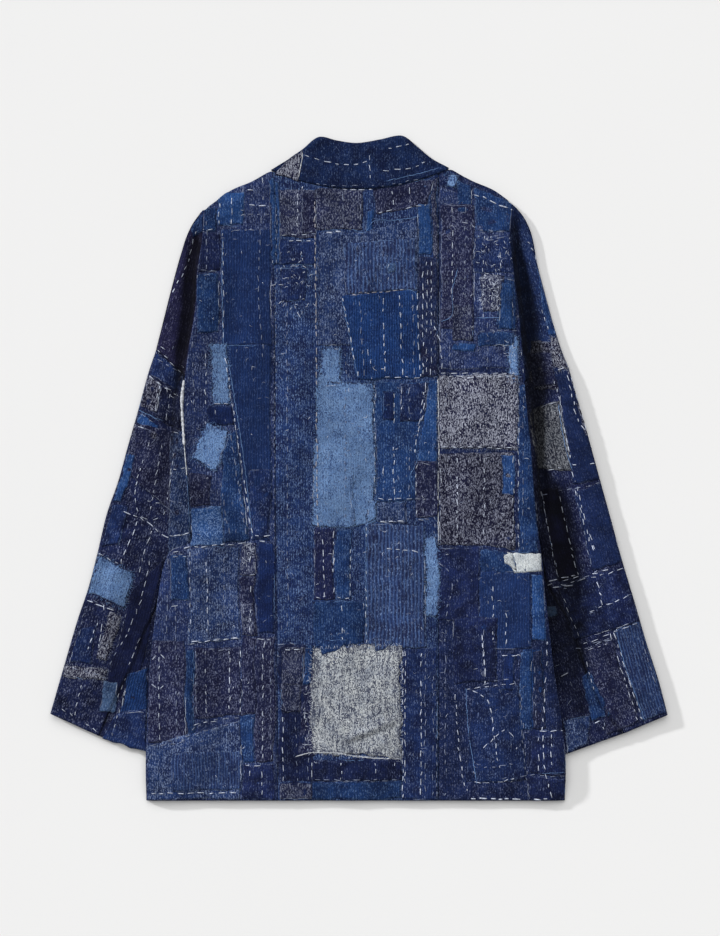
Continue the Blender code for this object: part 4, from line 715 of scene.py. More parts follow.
        ("blue", (3.5, 77.5), (5.3, 77.9), (7.8, 78.5), (10.2, 79.2)),
        ("w", (1.5, 81), (1.5, 77.8)),
        ("w", (-6.8, 80.8), (-3.5, 79.8), (-0.4, 79.6), (1.2, 79.9)),
        ("w", (2.9, 78.8), (6.4, 79.1), (8.9, 80)),
        ("w", (2.9, 81.5), (6.4, 82.2)),
        ("w", (-2.2, 76.9), (1.4, 76.9)),
        ("dim", (-5.4, 77.2), (-2.4, 76.9)),
        ("dim", (1.6, 76.9), (4.6, 77.1), (7.8, 77.9)),
    ],
}
PATCHES = {
    panel: [Patch(cloth, corners, stitched) for cloth, *corners, stitched in rows]
    for panel, rows in PATCH_ROWS.items()
}
STITCH_LINES = {
    panel: [Line(thread, places) for thread, *places in rows]
    for panel, rows in STITCH_ROWS.items()
}


# ---------------------------------------------------------------- plan helpers

def mix(a, b, share):
    return a + (b - a) * share


def smooth(value, start, end):
    """0 before start, 1 after end, with an S-shaped ramp between."""
    share = np.clip((value - start) / (end - start), 0.0, 1.0)
    return share * share * (3.0 - 2.0 * share)


def x_at(curve, y):
    """The x of a curve that climbs or falls steadily in y."""
    if curve[0, 1] > curve[-1, 1]:
        curve = curve[::-1]
    return np.interp(y, curve[:, 1], curve[:, 0])


def table_at(table, y):
    return np.interp(y, [row[0] for row in table], [row[1] for row in table])


def along(curve, share):
    """Places at these shares of a curve's length."""
    run = np.concatenate([[0.0], np.cumsum(np.hypot(*np.diff(curve, axis=0).T))])
    at = np.asarray(share) * run[-1]
    return np.interp(at, run, curve[:, 0]), np.interp(at, run, curve[:, 1])


def distance_to(curve, x, y):
    """Distance from each place to the nearest point of a finely divided curve."""
    nearest = np.full(np.shape(x), np.inf)
    for (x0, y0), (x1, y1) in zip(curve, curve[1:]):
        dx, dy = x1 - x0, y1 - y0
        share = np.clip(((x - x0) * dx + (y - y0) * dy) / (dx * dx + dy * dy), 0.0, 1.0)
        nearest = np.minimum(nearest, np.hypot(x - x0 - share * dx, y - y0 - share * dy))
    return nearest


def fold_height(folds, x, y):
    total = np.zeros(np.shape(x))
    for fold in folds:
        line = [(fold.x0, fold.y0), (fold.x1, fold.y1)]
        total += fold.height * np.exp(-((distance_to(line, x, y) / fold.width) ** 2))
    return total


def crumple(x, y, size, seed, count=9):
    """Soft uneven bumps between about -1 and 1, of the given size in centimetres."""
    rng = np.random.default_rng(seed)
    total = np.zeros(np.shape(x))
    for _ in range(count):
        angle, phase = rng.uniform(0.0, 2 * math.pi, 2)
        wave = 2 * math.pi / (size * rng.uniform(1.3, 2.6))
        total += np.sin(wave * (x * math.cos(angle) + y * math.sin(angle)) + phase)
    return total / math.sqrt(count)


# ---------------------------------------------------------------- heights of the cloth, in millimetres

def fold_window(y):
    """1 along the armhole and shoulder, falling to 0 at the underarm."""
    return smooth(y, 33.0, 39.0) * mix(1.0, 0.35, smooth(y, 66.0, 74.0))


def fold_profile(outwards):
    """The rounded section of the fold beside the armhole: 1 inside it, 0 beyond."""
    return np.sqrt(1.0 - np.clip((outwards + 0.35) / 0.85, 0.0, 1.0) ** 2)


def body_lift(side, x, y):
    edge = x_at(side.edge, y)
    inwards = edge - x
    sleeve_depth = edge - x_at(side.inner, y)
    plateau = 1.0 - smooth(inwards, sleeve_depth + 1.0, sleeve_depth + 6.5)
    beside_cuff = smooth(y, 0.0, 3.0) * (1.0 - smooth(y, 32.0, 34.6))
    ridge = (1.0 - smooth(inwards, 0.0, 5.5)) * fold_window(y)
    return OVER_SLEEVE * plateau * beside_cuff + FOLD_LIFT * ridge * fold_profile(outwards_of(side, x, y))


def shoulder_y(side, x):
    return np.where(x < side.top[0, 0], 90.0, np.interp(x, side.top[:, 0], side.top[:, 1]))


def body_slack(side, x, y):
    inwards = x_at(side.edge, y) - x
    slack = mix(SLACK, CENTRE_SLACK, smooth(inwards, 1.0, 8.0))
    open_side = np.minimum(smooth(inwards, 0.0, 1.2) + smooth(y, 31.0, 34.0), 1.0)
    closing = mix(1.0, smooth(shoulder_y(side, x) - y, 0.0, 2.0), smooth(x, 9.0, 13.0))
    return np.maximum(mix(CLOSED, slack, open_side * closing), CLOSED)


def neck_y(x):
    return NECK_SEAM_Y + NECK_RISE * (x / NECK_HALF) ** 2


def body_relief(x, y):
    """Creases, puckers, seams and the turned hem of the back, with x signed."""
    relief = fold_height(BODY_FOLDS, x, y)
    relief += 0.45 * crumple(x, y, 3.4, 3) + 0.16 * crumple(x, y, 1.1, 5)
    for sign, table in BACK_SEAM.items():
        away = np.abs(x - sign * table_at(table, y))
        relief += 0.35 * np.exp(-((away / 0.55) ** 2)) - 1.0 * np.exp(-((away / 0.13) ** 2))
    relief += 0.45 * (1.0 - smooth(y, 2.1, 2.4)) - 0.5 * np.exp(-(((y - 2.35) / 0.15) ** 2))
    relief -= 0.8 * np.exp(-(((neck_y(x) - y) / 0.3) ** 2)) * (np.abs(x) < NECK_HALF)
    return relief


def sides_of(x, function):
    """A value worked out on each side's own tables, for signed x."""
    return np.where(x < 0.0, function(LEFT, np.abs(x)), function(RIGHT, np.abs(x)))


def back_top(x, y):
    """Upper surface of the back, with x signed."""
    def height(side, out):
        inwards = x_at(side.edge, y) - out
        roll = 1.3 * (1.0 - smooth(inwards, -0.05, 0.45)) ** 2 * (1.0 - smooth(y, 31.0, 34.0))
        return body_lift(side, out, y) + 2 * WALL + body_slack(side, out, y) - roll

    calm = sides_of(x, lambda side, out: smooth(x_at(side.edge, y) - out, 0.0, 0.8))
    return sides_of(x, height) + body_relief(x, y) * calm


def front_top(x, y):
    return sides_of(x, lambda side, out: body_lift(side, out, y)) + WALL


def outwards_of(side, x, y):
    """Distance beyond the folded edge of the body, less the folded strip that lies over the sleeve."""
    edge = x_at(side.edge, np.maximum(y, UNDERARM_Y))
    return x - edge - table_at(side.strip, y)


def arm_lift(side, x, y):
    """The under layer's height: held up at the fold, and dropping over a rounded edge."""
    return FOLD_LIFT * fold_window(y) * fold_profile(outwards_of(side, x, y))


def outer_distance(side, x, y):
    return distance_to(np.concatenate([side.drop[::-1], side.outer])[::2], x, y)


def arm_section(side, x, y, away, raised=OUTER_LIFT):
    """Lift and thickness of the flattened sleeve, by the distance from its outer fold."""
    near = 1.0 - smooth(away, 0.0, 4.0)
    below = 1.0 - smooth(y, 50.0, 60.0)
    lift = arm_lift(side, x, y) + raised * near * below
    full = mix(2 * WALL + SLACK, mix(SHOULDER_THICK, SLEEVE_THICK, below), near)
    return lift, mix(2 * WALL + CLOSED, full, smooth(side.edge[-1, 1] - y, -0.3, 2.0))


def arm_relief(side, x, y):
    outwards = outwards_of(side, x, y)
    relief = fold_height(ARM_FOLDS, x, y)
    relief += 0.5 * crumple(x * side.sign, y, 2.6, 11) + 0.2 * crumple(x * side.sign, y, 1.0, 13)
    relief -= 2.0 * np.exp(-(((outwards - 1.1) / 0.7) ** 2)) * fold_window(y)
    relief += 0.3 * np.exp(-((distance_to(side.seam, x, y) / 0.5) ** 2))
    relief -= 1.1 * np.exp(-((distance_to(side.seam, x, y) / 0.13) ** 2))
    x0, y0 = side.outer[0]
    armhole = [(x0, y0), (float(x_at(side.edge, side.corner_y)), side.corner_y)]
    relief -= 1.0 * np.exp(-((distance_to(armhole, x, y) / 0.16) ** 2))
    cuff = [tuple(side.outer[-1]), tuple(side.seam[-1])]
    from_cuff = distance_to(cuff, x, y)
    relief += 0.4 * (1.0 - smooth(from_cuff, 1.5, 1.8)) - 0.5 * np.exp(-(((from_cuff - 1.75) / 0.15) ** 2))
    return relief


def round_fold(away):
    """Height above the middle of a fold, from 0 on its line to half of the thickness where it runs flat."""
    reach = 1.0 - np.clip(away / (0.5 * SLEEVE_THICK * MM_IN_CM), 0.0, 1.0)
    return 0.5 * np.sqrt(1.0 - reach ** 2)


def arm_calm(side, x, y, away):
    """Less relief close to the outer fold and to the body's fold."""
    edge = x_at(side.edge, np.maximum(y, UNDERARM_Y))
    return smooth(away, 0.0, 0.9) * np.where(y > UNDERARM_Y, smooth(x - edge, 0.0, 0.5), 1.0)


def arm_top(side, x, y, away=None, raised=OUTER_LIFT):
    """Upper surface of the dropped shoulder and the sleeve, with x counted outwards."""
    away = outer_distance(side, x, y) if away is None else away
    lift, full = arm_section(side, x, y, away, raised)
    return lift + full * (0.5 + round_fold(away)) + arm_relief(side, x, y) * arm_calm(side, x, y, away)


def arm_under(side, x, y, away, raised=OUTER_LIFT):
    lift, full = arm_section(side, x, y, away, raised)
    return lift + full * (0.5 - round_fold(away))


def arm_hollow_shade(side, x, y):
    """Painted shade on the arm where it dips beside the body, and along the lower sleeve's sunk seam."""
    outwards = x - x_at(side.edge, y) - table_at(side.strip, y)
    row_y, row_wide, row_deep = zip(*side.hollow)
    wide, deep = np.interp(y, row_y, row_wide), np.interp(y, row_y, row_deep)
    # painted shade along the sleeve's sunk seam, fading out towards the underarm
    sunk = SEAM_SHADE * np.exp(-((distance_to(side.seam, x, y) / 0.3) ** 2)) * (1.0 - smooth(y, 24.0, 31.0))
    # painted shade beside the body, as wide and as dark as each side's rows give
    return deep * (1.0 - smooth(outwards, 0.7 * wide, 1.25 * wide)) + sunk


def body_hollow_shade(x, y):
    """Painted shade just inside the body's folded edge beside each sleeve, from the underarms up."""
    def hollow(side, out):
        inwards = x_at(side.edge, y) - out
        return 0.5 * np.exp(-(((inwards - 0.3) / 0.5) ** 2)) * smooth(y, 31.0, 36.0)

    return sides_of(x, hollow)


def wear_and_shade_of(relief, hollow=0.0):
    """Fading on raised cloth, and painted shade in creases and hollows, from about -3 to 1."""
    return np.clip(relief / 1.6, -1.0, 1.0) - hollow


# ---------------------------------------------------------------- plans of each piece, in centimetres

def steps(length, cell=CELL):
    return np.linspace(0.0, 1.0, max(int(round(length / cell)), 2) + 1)


def edge_steps(length, finest_reach=0.7, cell=CELL):
    """Shares across a panel, closer together near its far edge."""
    start = 1.0 - finest_reach / length
    even = np.linspace(0.0, start, int(length * start / cell))
    return np.concatenate([even, np.linspace(start, 1.0, EDGE_ROWS)[1:]])


def side_levels(side):
    """Row heights up a side panel, and how many lie below the sleeve's seam."""
    top = side.edge[-1, 1]
    low = side.corner_y * steps(side.corner_y)
    high = mix(side.corner_y, top, steps(top - side.corner_y))
    return np.concatenate([low, high[1:]]), len(low) - 1


def side_plan(side, start_table):
    """Rows of plan places from a seam out to the side edge, up to the shoulder line."""
    levels, corner = side_levels(side)
    shares = edge_steps(15.0)
    top_y = along(side.top, shares)[1]
    side_top = side.edge[-1, 1]
    scale = mix(top_y, side_top, smooth(shares, 0.93, 1.0)) / side_top
    y = levels[:, None] * scale[None, :]
    start = table_at(start_table, y) + SEAM_GAP
    at_sleeve = (y > UNDERARM_Y - 0.4) & (y < side.corner_y + 0.01)
    outer = x_at(side.edge, y) - SEAM_GAP * at_sleeve
    return mix(start, outer, shares[None, :]), y, corner


def drop_plan(side, body_x, body_y, corner):
    """The dropped shoulder: rows from the sleeve seam up, columns from the fold outwards."""
    fold_x, fold_y = body_x[corner:, -1], body_y[corner:, -1]
    shares = steps(side.edge[-1, 1] - side.corner_y)
    outer_x, outer_y = along(side.drop, shares)
    flank = np.linspace(0.0, 0.28, 9)
    valley = np.linspace(0.28, 0.86, 8)[1:]
    fold = np.linspace(0.86, 1.0, 6)[1:]
    columns = np.concatenate([flank, valley, fold])
    return mix(fold_x[:, None], outer_x[:, None], columns), mix(fold_y[:, None], outer_y[:, None], columns)


def armhole(side, share):
    """The armhole, from the outer fold across the top of the arm and down to the underarm."""
    corner_x = float(x_at(side.edge, side.corner_y))
    part = np.clip(share / CORNER_SHARE, 0.0, 1.0)
    y = mix(side.corner_y, side.seam[0, 1], np.clip((share - CORNER_SHARE) / (1.0 - CORNER_SHARE), 0.0, 1.0))
    across = share <= CORNER_SHARE
    x = np.where(across, mix(side.outer[0, 0], corner_x, part), x_at(side.edge, y))
    return x, np.where(across, mix(side.outer[0, 1], side.corner_y, part), y)


def sleeve_plan(side, shares_across, shares_down):
    """Rows down the sleeve, columns from the back seam (0) to the outer fold (1)."""
    u, v = 1.0 - shares_across[None, :], shares_down[:, None]
    hole, outer, seam = armhole(side, u), along(side.outer, v), along(side.seam, v)
    plan = []
    for axis in (0, 1):
        cuff_outer, cuff_seam = side.outer[-1, axis], side.seam[-1, axis]
        hole_outer, hole_seam = side.outer[0, axis], side.seam[0, axis]
        between_sides = mix(outer[axis], seam[axis], u)
        between_ends = mix(hole[axis], mix(cuff_outer, cuff_seam, u), v)
        corners = mix(mix(hole_outer, hole_seam, u), mix(cuff_outer, cuff_seam, u), v)
        plan.append(between_sides + between_ends - corners)
    return plan


# ---------------------------------------------------------------- meshes

def metres(x, y, z):
    middle_x, middle_y = GARMENT_MIDDLE
    places = np.stack([(x - middle_x) * CM, (y - middle_y) * CM, z * MM], axis=-1)
    return places.reshape(-1, 3)


def grid_faces(rows, columns, start=0):
    r, c = np.meshgrid(np.arange(rows - 1), np.arange(columns - 1), indexing="ij")
    first = (start + r * columns + c).ravel()
    return np.stack([first, first + 1, first + columns + 1, first + columns], axis=1)


def make_mesh(name, places, faces, materials, slots=None, values=None, smooth_shaded=True):
    """A mesh object riding on the jacket, with its own float values at each point."""
    mesh = bpy.data.meshes.new(name)
    mesh.from_pydata(places.tolist(), [], [list(face) for face in faces])
    for material in materials:
        mesh.materials.append(material)
    if slots is not None:
        mesh.polygons.foreach_set("material_index", np.asarray(slots, np.int32))
    if smooth_shaded:
        mesh.polygons.foreach_set("use_smooth", np.ones(len(mesh.polygons), bool))
    for key, numbers in (values or {}).items():
        mesh.attributes.new(key, "FLOAT", "POINT").data.foreach_set("value", np.asarray(numbers, np.float32))
    mesh.update()
    mesh.validate()
    piece = bpy.data.objects.new(name, mesh)
    bpy.context.scene.collection.objects.link(piece)
    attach(piece, "root")
    return piece


def shell(name, grids, materials, wall=WALL, by_normal=False):
    """A closed cloth wall under one or more grids, welded where they meet.

    Each grid is x, y, height, worn fading and painted shade, slot.
    """
    places, wear_and_shade_values, faces, slots = [], [], [], []
    for x, y, z, wear_and_shade, slot in grids:
        faces.append(grid_faces(*x.shape, start=sum(len(p) for p in places)))
        slots.append(np.full(len(faces[-1]), slot))
        places.append(metres(x, y, z))
        wear_and_shade_values.append(wear_and_shade.ravel())
    first_faces = len(faces[0])
    places, wear_and_shade_values = np.concatenate(places), np.concatenate(wear_and_shade_values)
    faces, slots = np.concatenate(faces), np.concatenate(slots)
    rounded = np.round(places / WELD).astype(np.int64)
    _, first, index = np.unique(rounded, axis=0, return_index=True, return_inverse=True)
    places, wear_and_shade_values, faces = places[first], wear_and_shade_values[first], index.reshape(-1)[faces]
    diagonals = np.cross(places[faces[:, 2]] - places[faces[:, 0]], places[faces[:, 3]] - places[faces[:, 1]])
    if diagonals[:first_faces, 2].sum() < 0.0:
        faces, diagonals = faces[:, ::-1], -diagonals
    if by_normal:
        normals = np.zeros_like(places)
        for k in range(4):
            np.add.at(normals, faces[:, k], diagonals)
        normals /= np.maximum(np.linalg.norm(normals, axis=1, keepdims=True), 1e-12)
    else:
        normals = np.array([[0.0, 0.0, 1.0]])
    count = len(places)
    inner = places - normals * wall * MM
    inner[:, 2] = np.maximum(inner[:, 2], 0.0)
    both = np.concatenate([places, inner])
    ends = np.stack([faces, np.roll(faces, -1, axis=1)], axis=-1).reshape(-1, 2)
    owner = np.repeat(np.arange(len(faces)), 4)
    keys = set(map(tuple, ends.tolist()))
    rims, rim_slots = [], []
    for (a, b), face in zip(ends.tolist(), owner):
        if (b, a) not in keys:
            rims.append((b, a, a + count, b + count))
            rim_slots.append(slots[face])
    every = np.concatenate([faces, faces[:, ::-1] + count, np.array(rims)])
    every_slot = np.concatenate([slots, slots, rim_slots])
    # each point's worn fading and painted shade, read by the cloth material
    values = {
        "wear_and_shade": np.tile(np.maximum(wear_and_shade_values, DARKEST_SHADE), 2),
        "edge": np.ones(2 * count),
        "patch": np.full(2 * count, 0.5),
    }
    return make_mesh(name, both, every, materials, every_slot, values)


# ---------------------------------------------------------------- cloth materials

def linear(colour):
    """An 8-bit display colour as linear light."""
    found = []
    for value in colour:
        value /= 255.0
        found.append(value / 12.92 if value <= 0.04045 else ((value + 0.055) / 1.055) ** 2.4)
    return (*found, 1.0)


class Weave:
    """One material's nodes, with short calls for the few kinds that the cloths need."""

    def __init__(self, name, roughness, sheen=0.0):
        self.material = bpy.data.materials.new(name)
        self.material.use_nodes = True
        self.tree = self.material.node_tree
        self.shader = self.tree.nodes["Principled BSDF"]
        self.shader.inputs["Roughness"].default_value = roughness
        self.shader.inputs["Specular IOR Level"].default_value = 0.06
        self.shader.inputs["Sheen Weight"].default_value = sheen
        self.shader.inputs["Sheen Roughness"].default_value = 0.6

    def put(self, socket, value):
        if isinstance(value, bpy.types.NodeSocket):
            self.tree.links.new(value, socket)
        else:
            socket.default_value = value

    def node(self, kind, inputs, output=0, **settings):
        node = self.tree.nodes.new(kind)
        for key, value in settings.items():
            setattr(node, key, value)
        for key, value in inputs.items():
            self.put(node.inputs[key], value)
        return node.outputs[output]

    def math(self, operation, a, b=0.0, c=0.0):
        return self.node("ShaderNodeMath", {0: a, 1: b, 2: c}, operation=operation)

    def times(self, a, b):
        return self.math("MULTIPLY", a, b)

    def less(self, a, b):
        return self.math("SUBTRACT", a, b)

    def times_plus(self, a, b, c):
        return self.math("MULTIPLY_ADD", a, b, c)

    def colour_mix(self, share, a, b, blend="MIX"):
        inputs = {0: share, 6: a, 7: b}
        return self.node("ShaderNodeMix", inputs, 2, data_type="RGBA", blend_type=blend)

    def ramp(self, value, low, high):
        """0 below low and 1 above high, straight between."""
        inputs = {"Value": value, "From Min": low, "From Max": high}
        return self.node("ShaderNodeMapRange", inputs, clamp=True)

    def noise(self, vector, scale, detail=2.0, output=0):
        inputs = {"Vector": vector, "Scale": scale, "Detail": detail, "Roughness": 0.55}
        return self.node("ShaderNodeTexNoise", inputs, output)

    def value(self, name):
        return self.node("ShaderNodeAttribute", {}, "Fac", attribute_name=name)

    def random(self, x, y):
        vector = self.node("ShaderNodeCombineXYZ", {0: x, 1: y})
        return self.node("ShaderNodeTexWhiteNoise", {"Vector": vector}, noise_dimensions="2D")

    def cell(self, along_axis, size):
        return self.math("FLOOR", self.math("DIVIDE", along_axis, size))

    def grey(self, value):
        return self.node("ShaderNodeCombineColor", {0: value, 1: value, 2: value})

    def floats(self, across, run, width, length, density):
        """Short light floats of single threads along one way of the weave, some bright and some faint."""
        column = self.cell(across, width)
        shift = self.node("ShaderNodeTexWhiteNoise", {"W": column}, noise_dimensions="1D")
        shifted = self.times_plus(shift, 37.0, self.math("DIVIDE", run, length))
        level = self.less(density, self.random(column, self.math("FLOOR", shifted)))
        return self.ramp(level, 0.0, 0.16)


made_cloths = {}


def woven_place(weave, patch, angle):
    """Millimetres across and along the cloth's own weave, slightly bent, and shifted for every patch."""
    place = weave.node("ShaderNodeTexCoord", {}, "Object")
    shift = weave.times(patch, 0.8)
    offset = weave.node("ShaderNodeCombineXYZ", {0: shift, 1: shift, 2: 0.0})
    place = weave.node("ShaderNodeVectorMath", {0: place, 1: offset}, operation="ADD")
    inputs = {"Vector": place, "Angle": math.radians(-angle)}
    turned = weave.node("ShaderNodeVectorRotate", inputs, rotation_type="Z_AXIS")
    bent = weave.noise(turned, 45.0, 1.0, 1)
    bent = weave.node("ShaderNodeVectorMath", {0: bent, 1: (0.5, 0.5, 0.5)}, operation="SUBTRACT")
    bent = weave.node("ShaderNodeVectorMath", {0: bent, "Scale": 0.0035}, operation="SCALE")
    bent = weave.node("ShaderNodeVectorMath", {0: turned, 1: bent}, operation="ADD")
    millimetres = weave.node("ShaderNodeVectorMath", {0: bent, "Scale": 1000.0}, operation="SCALE")
    split = weave.tree.nodes.new("ShaderNodeSeparateXYZ")
    weave.tree.links.new(millimetres, split.inputs[0])
    x, y = split.outputs[0], split.outputs[1]
    return x, y, weave.node("ShaderNodeCombineXYZ", {0: x, 1: y})


def stretched(weave, flat, across, along_run, detail=2.0):
    """Noise with its own scale each way, so that its spots run up the cloth."""
    place = weave.node("ShaderNodeVectorMath", {0: flat, 1: (across, along_run, 1.0)}, operation="MULTIPLY")
    return weave.noise(place, 1.0, detail)


def cloth_material(kind, angle=0.0):
    """The woven cloth of one kind, with its warp turned by angle degrees from straight up the back."""
    if (kind, angle) in made_cloths:
        return made_cloths[kind, angle]
    cloth = CLOTHS[kind]
    weave = Weave(f"cloth_{kind}" + (f"_{angle:.0f}" if angle else ""), CLOTH_ROUGHNESS, CLOTH_SHEEN)
    patch, edge = weave.value("patch"), weave.value("edge")
    x, y, flat = woven_place(weave, patch, angle)

    # Dye: faded and unfaded areas, cords that run up the cloth, and a grain of uneven threads.
    faded = weave.ramp(weave.noise(flat, 0.05, 3.0), 0.38, 0.62)
    colour = weave.colour_mix(faded, linear(cloth.shade), linear(cloth.base))
    wobble = weave.times(weave.noise(flat, 0.05, 1.0), 1.4)
    cord = weave.math("SINE", weave.times_plus(x, 2 * math.pi / CORD_PITCH, wobble))
    coarse_grain = weave.ramp(stretched(weave, flat, 0.95, 0.58), 0.30, 0.70)
    fine_grain = weave.random(weave.cell(x, 0.9), weave.cell(y, 1.5))
    tone = weave.times_plus(coarse_grain, 0.62, 0.52)
    tone = weave.times_plus(fine_grain, 0.52, tone)
    tone = weave.times_plus(cord, 0.34 * cloth.cord, tone)
    tone = weave.times(tone, 0.93)
    colour = weave.colour_mix(1.0, colour, weave.grey(tone), "MULTIPLY")
    raised = weave.times(cord, 1.1 * cloth.cord)
    if cloth.ribs:
        lean = weave.times(weave.noise(flat, 0.05, 2.0), 4.2)
        wave = weave.math("SINE", weave.times_plus(x, 2 * math.pi / cloth.ribs, lean))
        broken = weave.ramp(stretched(weave, flat, 0.30, 0.05), 0.34, 0.74)
        rib = weave.times(weave.ramp(wave, 0.0, 0.95), broken)
        gap = weave.times(weave.ramp(wave, -0.1, -0.9), 0.6)
        colour = weave.colour_mix(gap, colour, linear(cloth.shade))
        colour = weave.colour_mix(rib, colour, linear(cloth.rib))
        raised = weave.times_plus(wave, 2.2, raised)

    # Light threads that come up in short floats, more of them in some areas.
    blotch = weave.ramp(weave.noise(flat, 0.075, 3.0), -0.05, 1.05)
    density = weave.times(blotch, 2.0 * cloth.warp)
    warp = weave.floats(x, y, 0.85, 2.2, density)
    fine_warp = weave.floats(x, y, 1.05, 1.2, weave.times(density, 0.85))
    light = weave.math("MAXIMUM", warp, weave.times(fine_warp, 0.75))
    if cloth.weft:
        weft = weave.floats(y, x, 0.85, 1.6, weave.times(blotch, 2.0 * cloth.weft))
        light = weave.math("MAXIMUM", light, weave.times(weft, 0.8))
    strength = weave.times(light, weave.ramp(weave.noise(flat, 0.7, 1.0), 0.22, 0.62))
    on_cords = weave.times_plus(cord, 0.6 * min(cloth.cord, 0.6), 0.95)
    strength = weave.times(strength, on_cords)
    colour = weave.colour_mix(strength, colour, linear(cloth.thread))
    if cloth.specks:
        border = weave.times(weave.less(1.0, edge), 0.10)
        streak = weave.ramp(stretched(weave, flat, 0.26, 0.035), 0.46, 0.72)
        smudge = weave.times(streak, 0.16)
        level = weave.math("ADD", weave.math("ADD", border, smudge), 0.42 * cloth.specks + 0.24)
        flecks = weave.times(stretched(weave, flat, 1.5, 1.0), 0.7)
        spots = weave.times_plus(fine_grain, 0.30, flecks)
        speck = weave.ramp(weave.less(level, spots), -0.04, 0.06)
        colour = weave.colour_mix(weave.times(speck, 0.9), colour, linear(cloth.speck))

    # A patch's border: worn through to the indigo below, with a thin light contour here and there.
    uneven = weave.less(stretched(weave, flat, 0.55, 0.22), 0.42)
    torn = weave.times(uneven, 2.4 * cloth.torn)
    worn_through = weave.ramp(weave.less(torn, edge), -0.02, 0.05)
    colour = weave.colour_mix(weave.times(worn_through, 0.9), colour, linear(GROUND))
    near = weave.ramp(edge, 0.20, 0.06)
    pieces = weave.ramp(weave.noise(flat, 0.16, 2.0), 0.50, 0.56)
    contour = weave.times(weave.times(near, pieces), weave.ramp(fine_grain, 0.1, 0.7))
    colour = weave.colour_mix(weave.times(contour, 0.75), colour, linear(cloth.thread))

    # Fading on raised cloth, painted shade in hollows and at patch borders, and a slightly different dye lot
    # per patch.
    lot = weave.times_plus(patch, 0.34, 0.83)
    level = weave.times(lot, weave.times_plus(weave.value("wear_and_shade"), 0.32, 1.0))
    # painted shade along each patch's border
    border_shade = weave.times_plus(weave.ramp(edge, 0.0, 0.28), 0.14, 0.86)
    shaded = weave.times(level, border_shade)
    colour = weave.colour_mix(1.0, colour, weave.grey(shaded), "MULTIPLY")
    weave.put(weave.shader.inputs["Base Color"], colour)

    # Relief of the threads themselves.
    over = weave.math("SINE", weave.times(x, 2 * math.pi / 0.85))
    under = weave.math("SINE", weave.times(y, 2 * math.pi / 0.95))
    height = weave.times_plus(over, under, weave.times(light, 1.2))
    height = weave.math("ADD", height, raised)
    height = weave.times_plus(coarse_grain, 1.4, height)
    inputs = {"Height": height, "Strength": 0.6, "Distance": 0.00022}
    weave.put(weave.shader.inputs["Normal"], weave.node("ShaderNodeBump", inputs))
    made_cloths[kind, angle] = weave.material
    return weave.material


def thread_material(kind):
    """Twisted cotton thread, dirtied unevenly, and darkened by painted shade where it lies in hollows."""
    weave = Weave(f"thread_{kind}", CLOTH_ROUGHNESS, CLOTH_SHEEN)
    place = weave.node("ShaderNodeTexCoord", {}, "Object")
    dirt = weave.ramp(weave.noise(place, 380.0, 2.0), 0.30, 0.62)
    base = linear(THREAD_COLOURS[kind])
    dark = tuple(0.42 * value for value in base[:3]) + (1.0,)
    colour = weave.colour_mix(dirt, dark, base)
    # painted shade of the cloth below, no darker than 0.3
    level = weave.math("MAXIMUM", weave.times_plus(weave.value("wear_and_shade"), 0.32, 1.0), 0.3)
    colour = weave.colour_mix(1.0, colour, weave.grey(level), "MULTIPLY")
    weave.put(weave.shader.inputs["Base Color"], colour)
    twist = weave.node("ShaderNodeVectorMath", {0: place, 1: (900.0, 900.0, 400.0)}, operation="MULTIPLY")
    height = weave.noise(twist, 1.0, 1.0)
    inputs = {"Height": height, "Strength": 0.6, "Distance": 0.0003}
    weave.put(weave.shader.inputs["Normal"], weave.node("ShaderNodeBump", inputs))
    return weave.material


# ---------------------------------------------------------------- the jacket's own pieces

def side_panel(name, side, start_table, body_height, drop_height, relief, materials):
    """A side panel whose cloth runs on, past the fold beside the arm, to the sleeve seam."""
    x, y, corner = side_plan(side, start_table)
    drop_x, drop_y = drop_plan(side, x, y, corner)
    away = np.hypot(drop_x - drop_x[:, -1:], drop_y - drop_y[:, -1:])
    height = body_height(side.sign * x, y)
    drop = drop_height(side, drop_x, drop_y, away)
    drop[:, 0] = height[corner:, -1]
    # worn fading and painted shade of the body and of the dropped shoulder
    body_wear_and_shade = wear_and_shade_of(relief * body_relief(side.sign * x, y), relief * body_hollow_shade(side.sign * x, y))
    drop_wear_and_shade = wear_and_shade_of(relief * arm_relief(side, drop_x, drop_y), relief * arm_hollow_shade(side, drop_x, drop_y))
    drop_wear_and_shade[:, 0] = body_wear_and_shade[corner:, -1]
    grids = [(side.sign * x, y, height, body_wear_and_shade, 0), (side.sign * drop_x, drop_y, drop, drop_wear_and_shade, 1)]
    return shell(name, grids, materials)


def front_drop(side, x, y, away):
    return arm_under(side, x, y, away) + WALL


def make_back_centre():
    side_top = LEFT.edge[-1, 1]
    share = steps(side_top)[:, None]
    seam_y = BACK_SEAM[1][-1][0] * share
    left = -table_at(BACK_SEAM[-1], seam_y) + SEAM_GAP
    right = table_at(BACK_SEAM[1], seam_y) - SEAM_GAP
    x = mix(left, right, steps(20.4)[None, :])
    y = share * (neck_y(x) - SEAM_GAP)
    wear_and_shade = wear_and_shade_of(body_relief(x, y))
    return shell("back_centre_cloth", [(x, y, back_top(x, y), wear_and_shade, 0)], [cloth_material("melange")])


def collar_relief(x, y):
    relief = 0.35 * crumple(x, y, 2.2, 21) + 0.18 * crumple(x, y, 0.9, 22)
    return relief + fold_height(COLLAR_FOLDS, x, y)


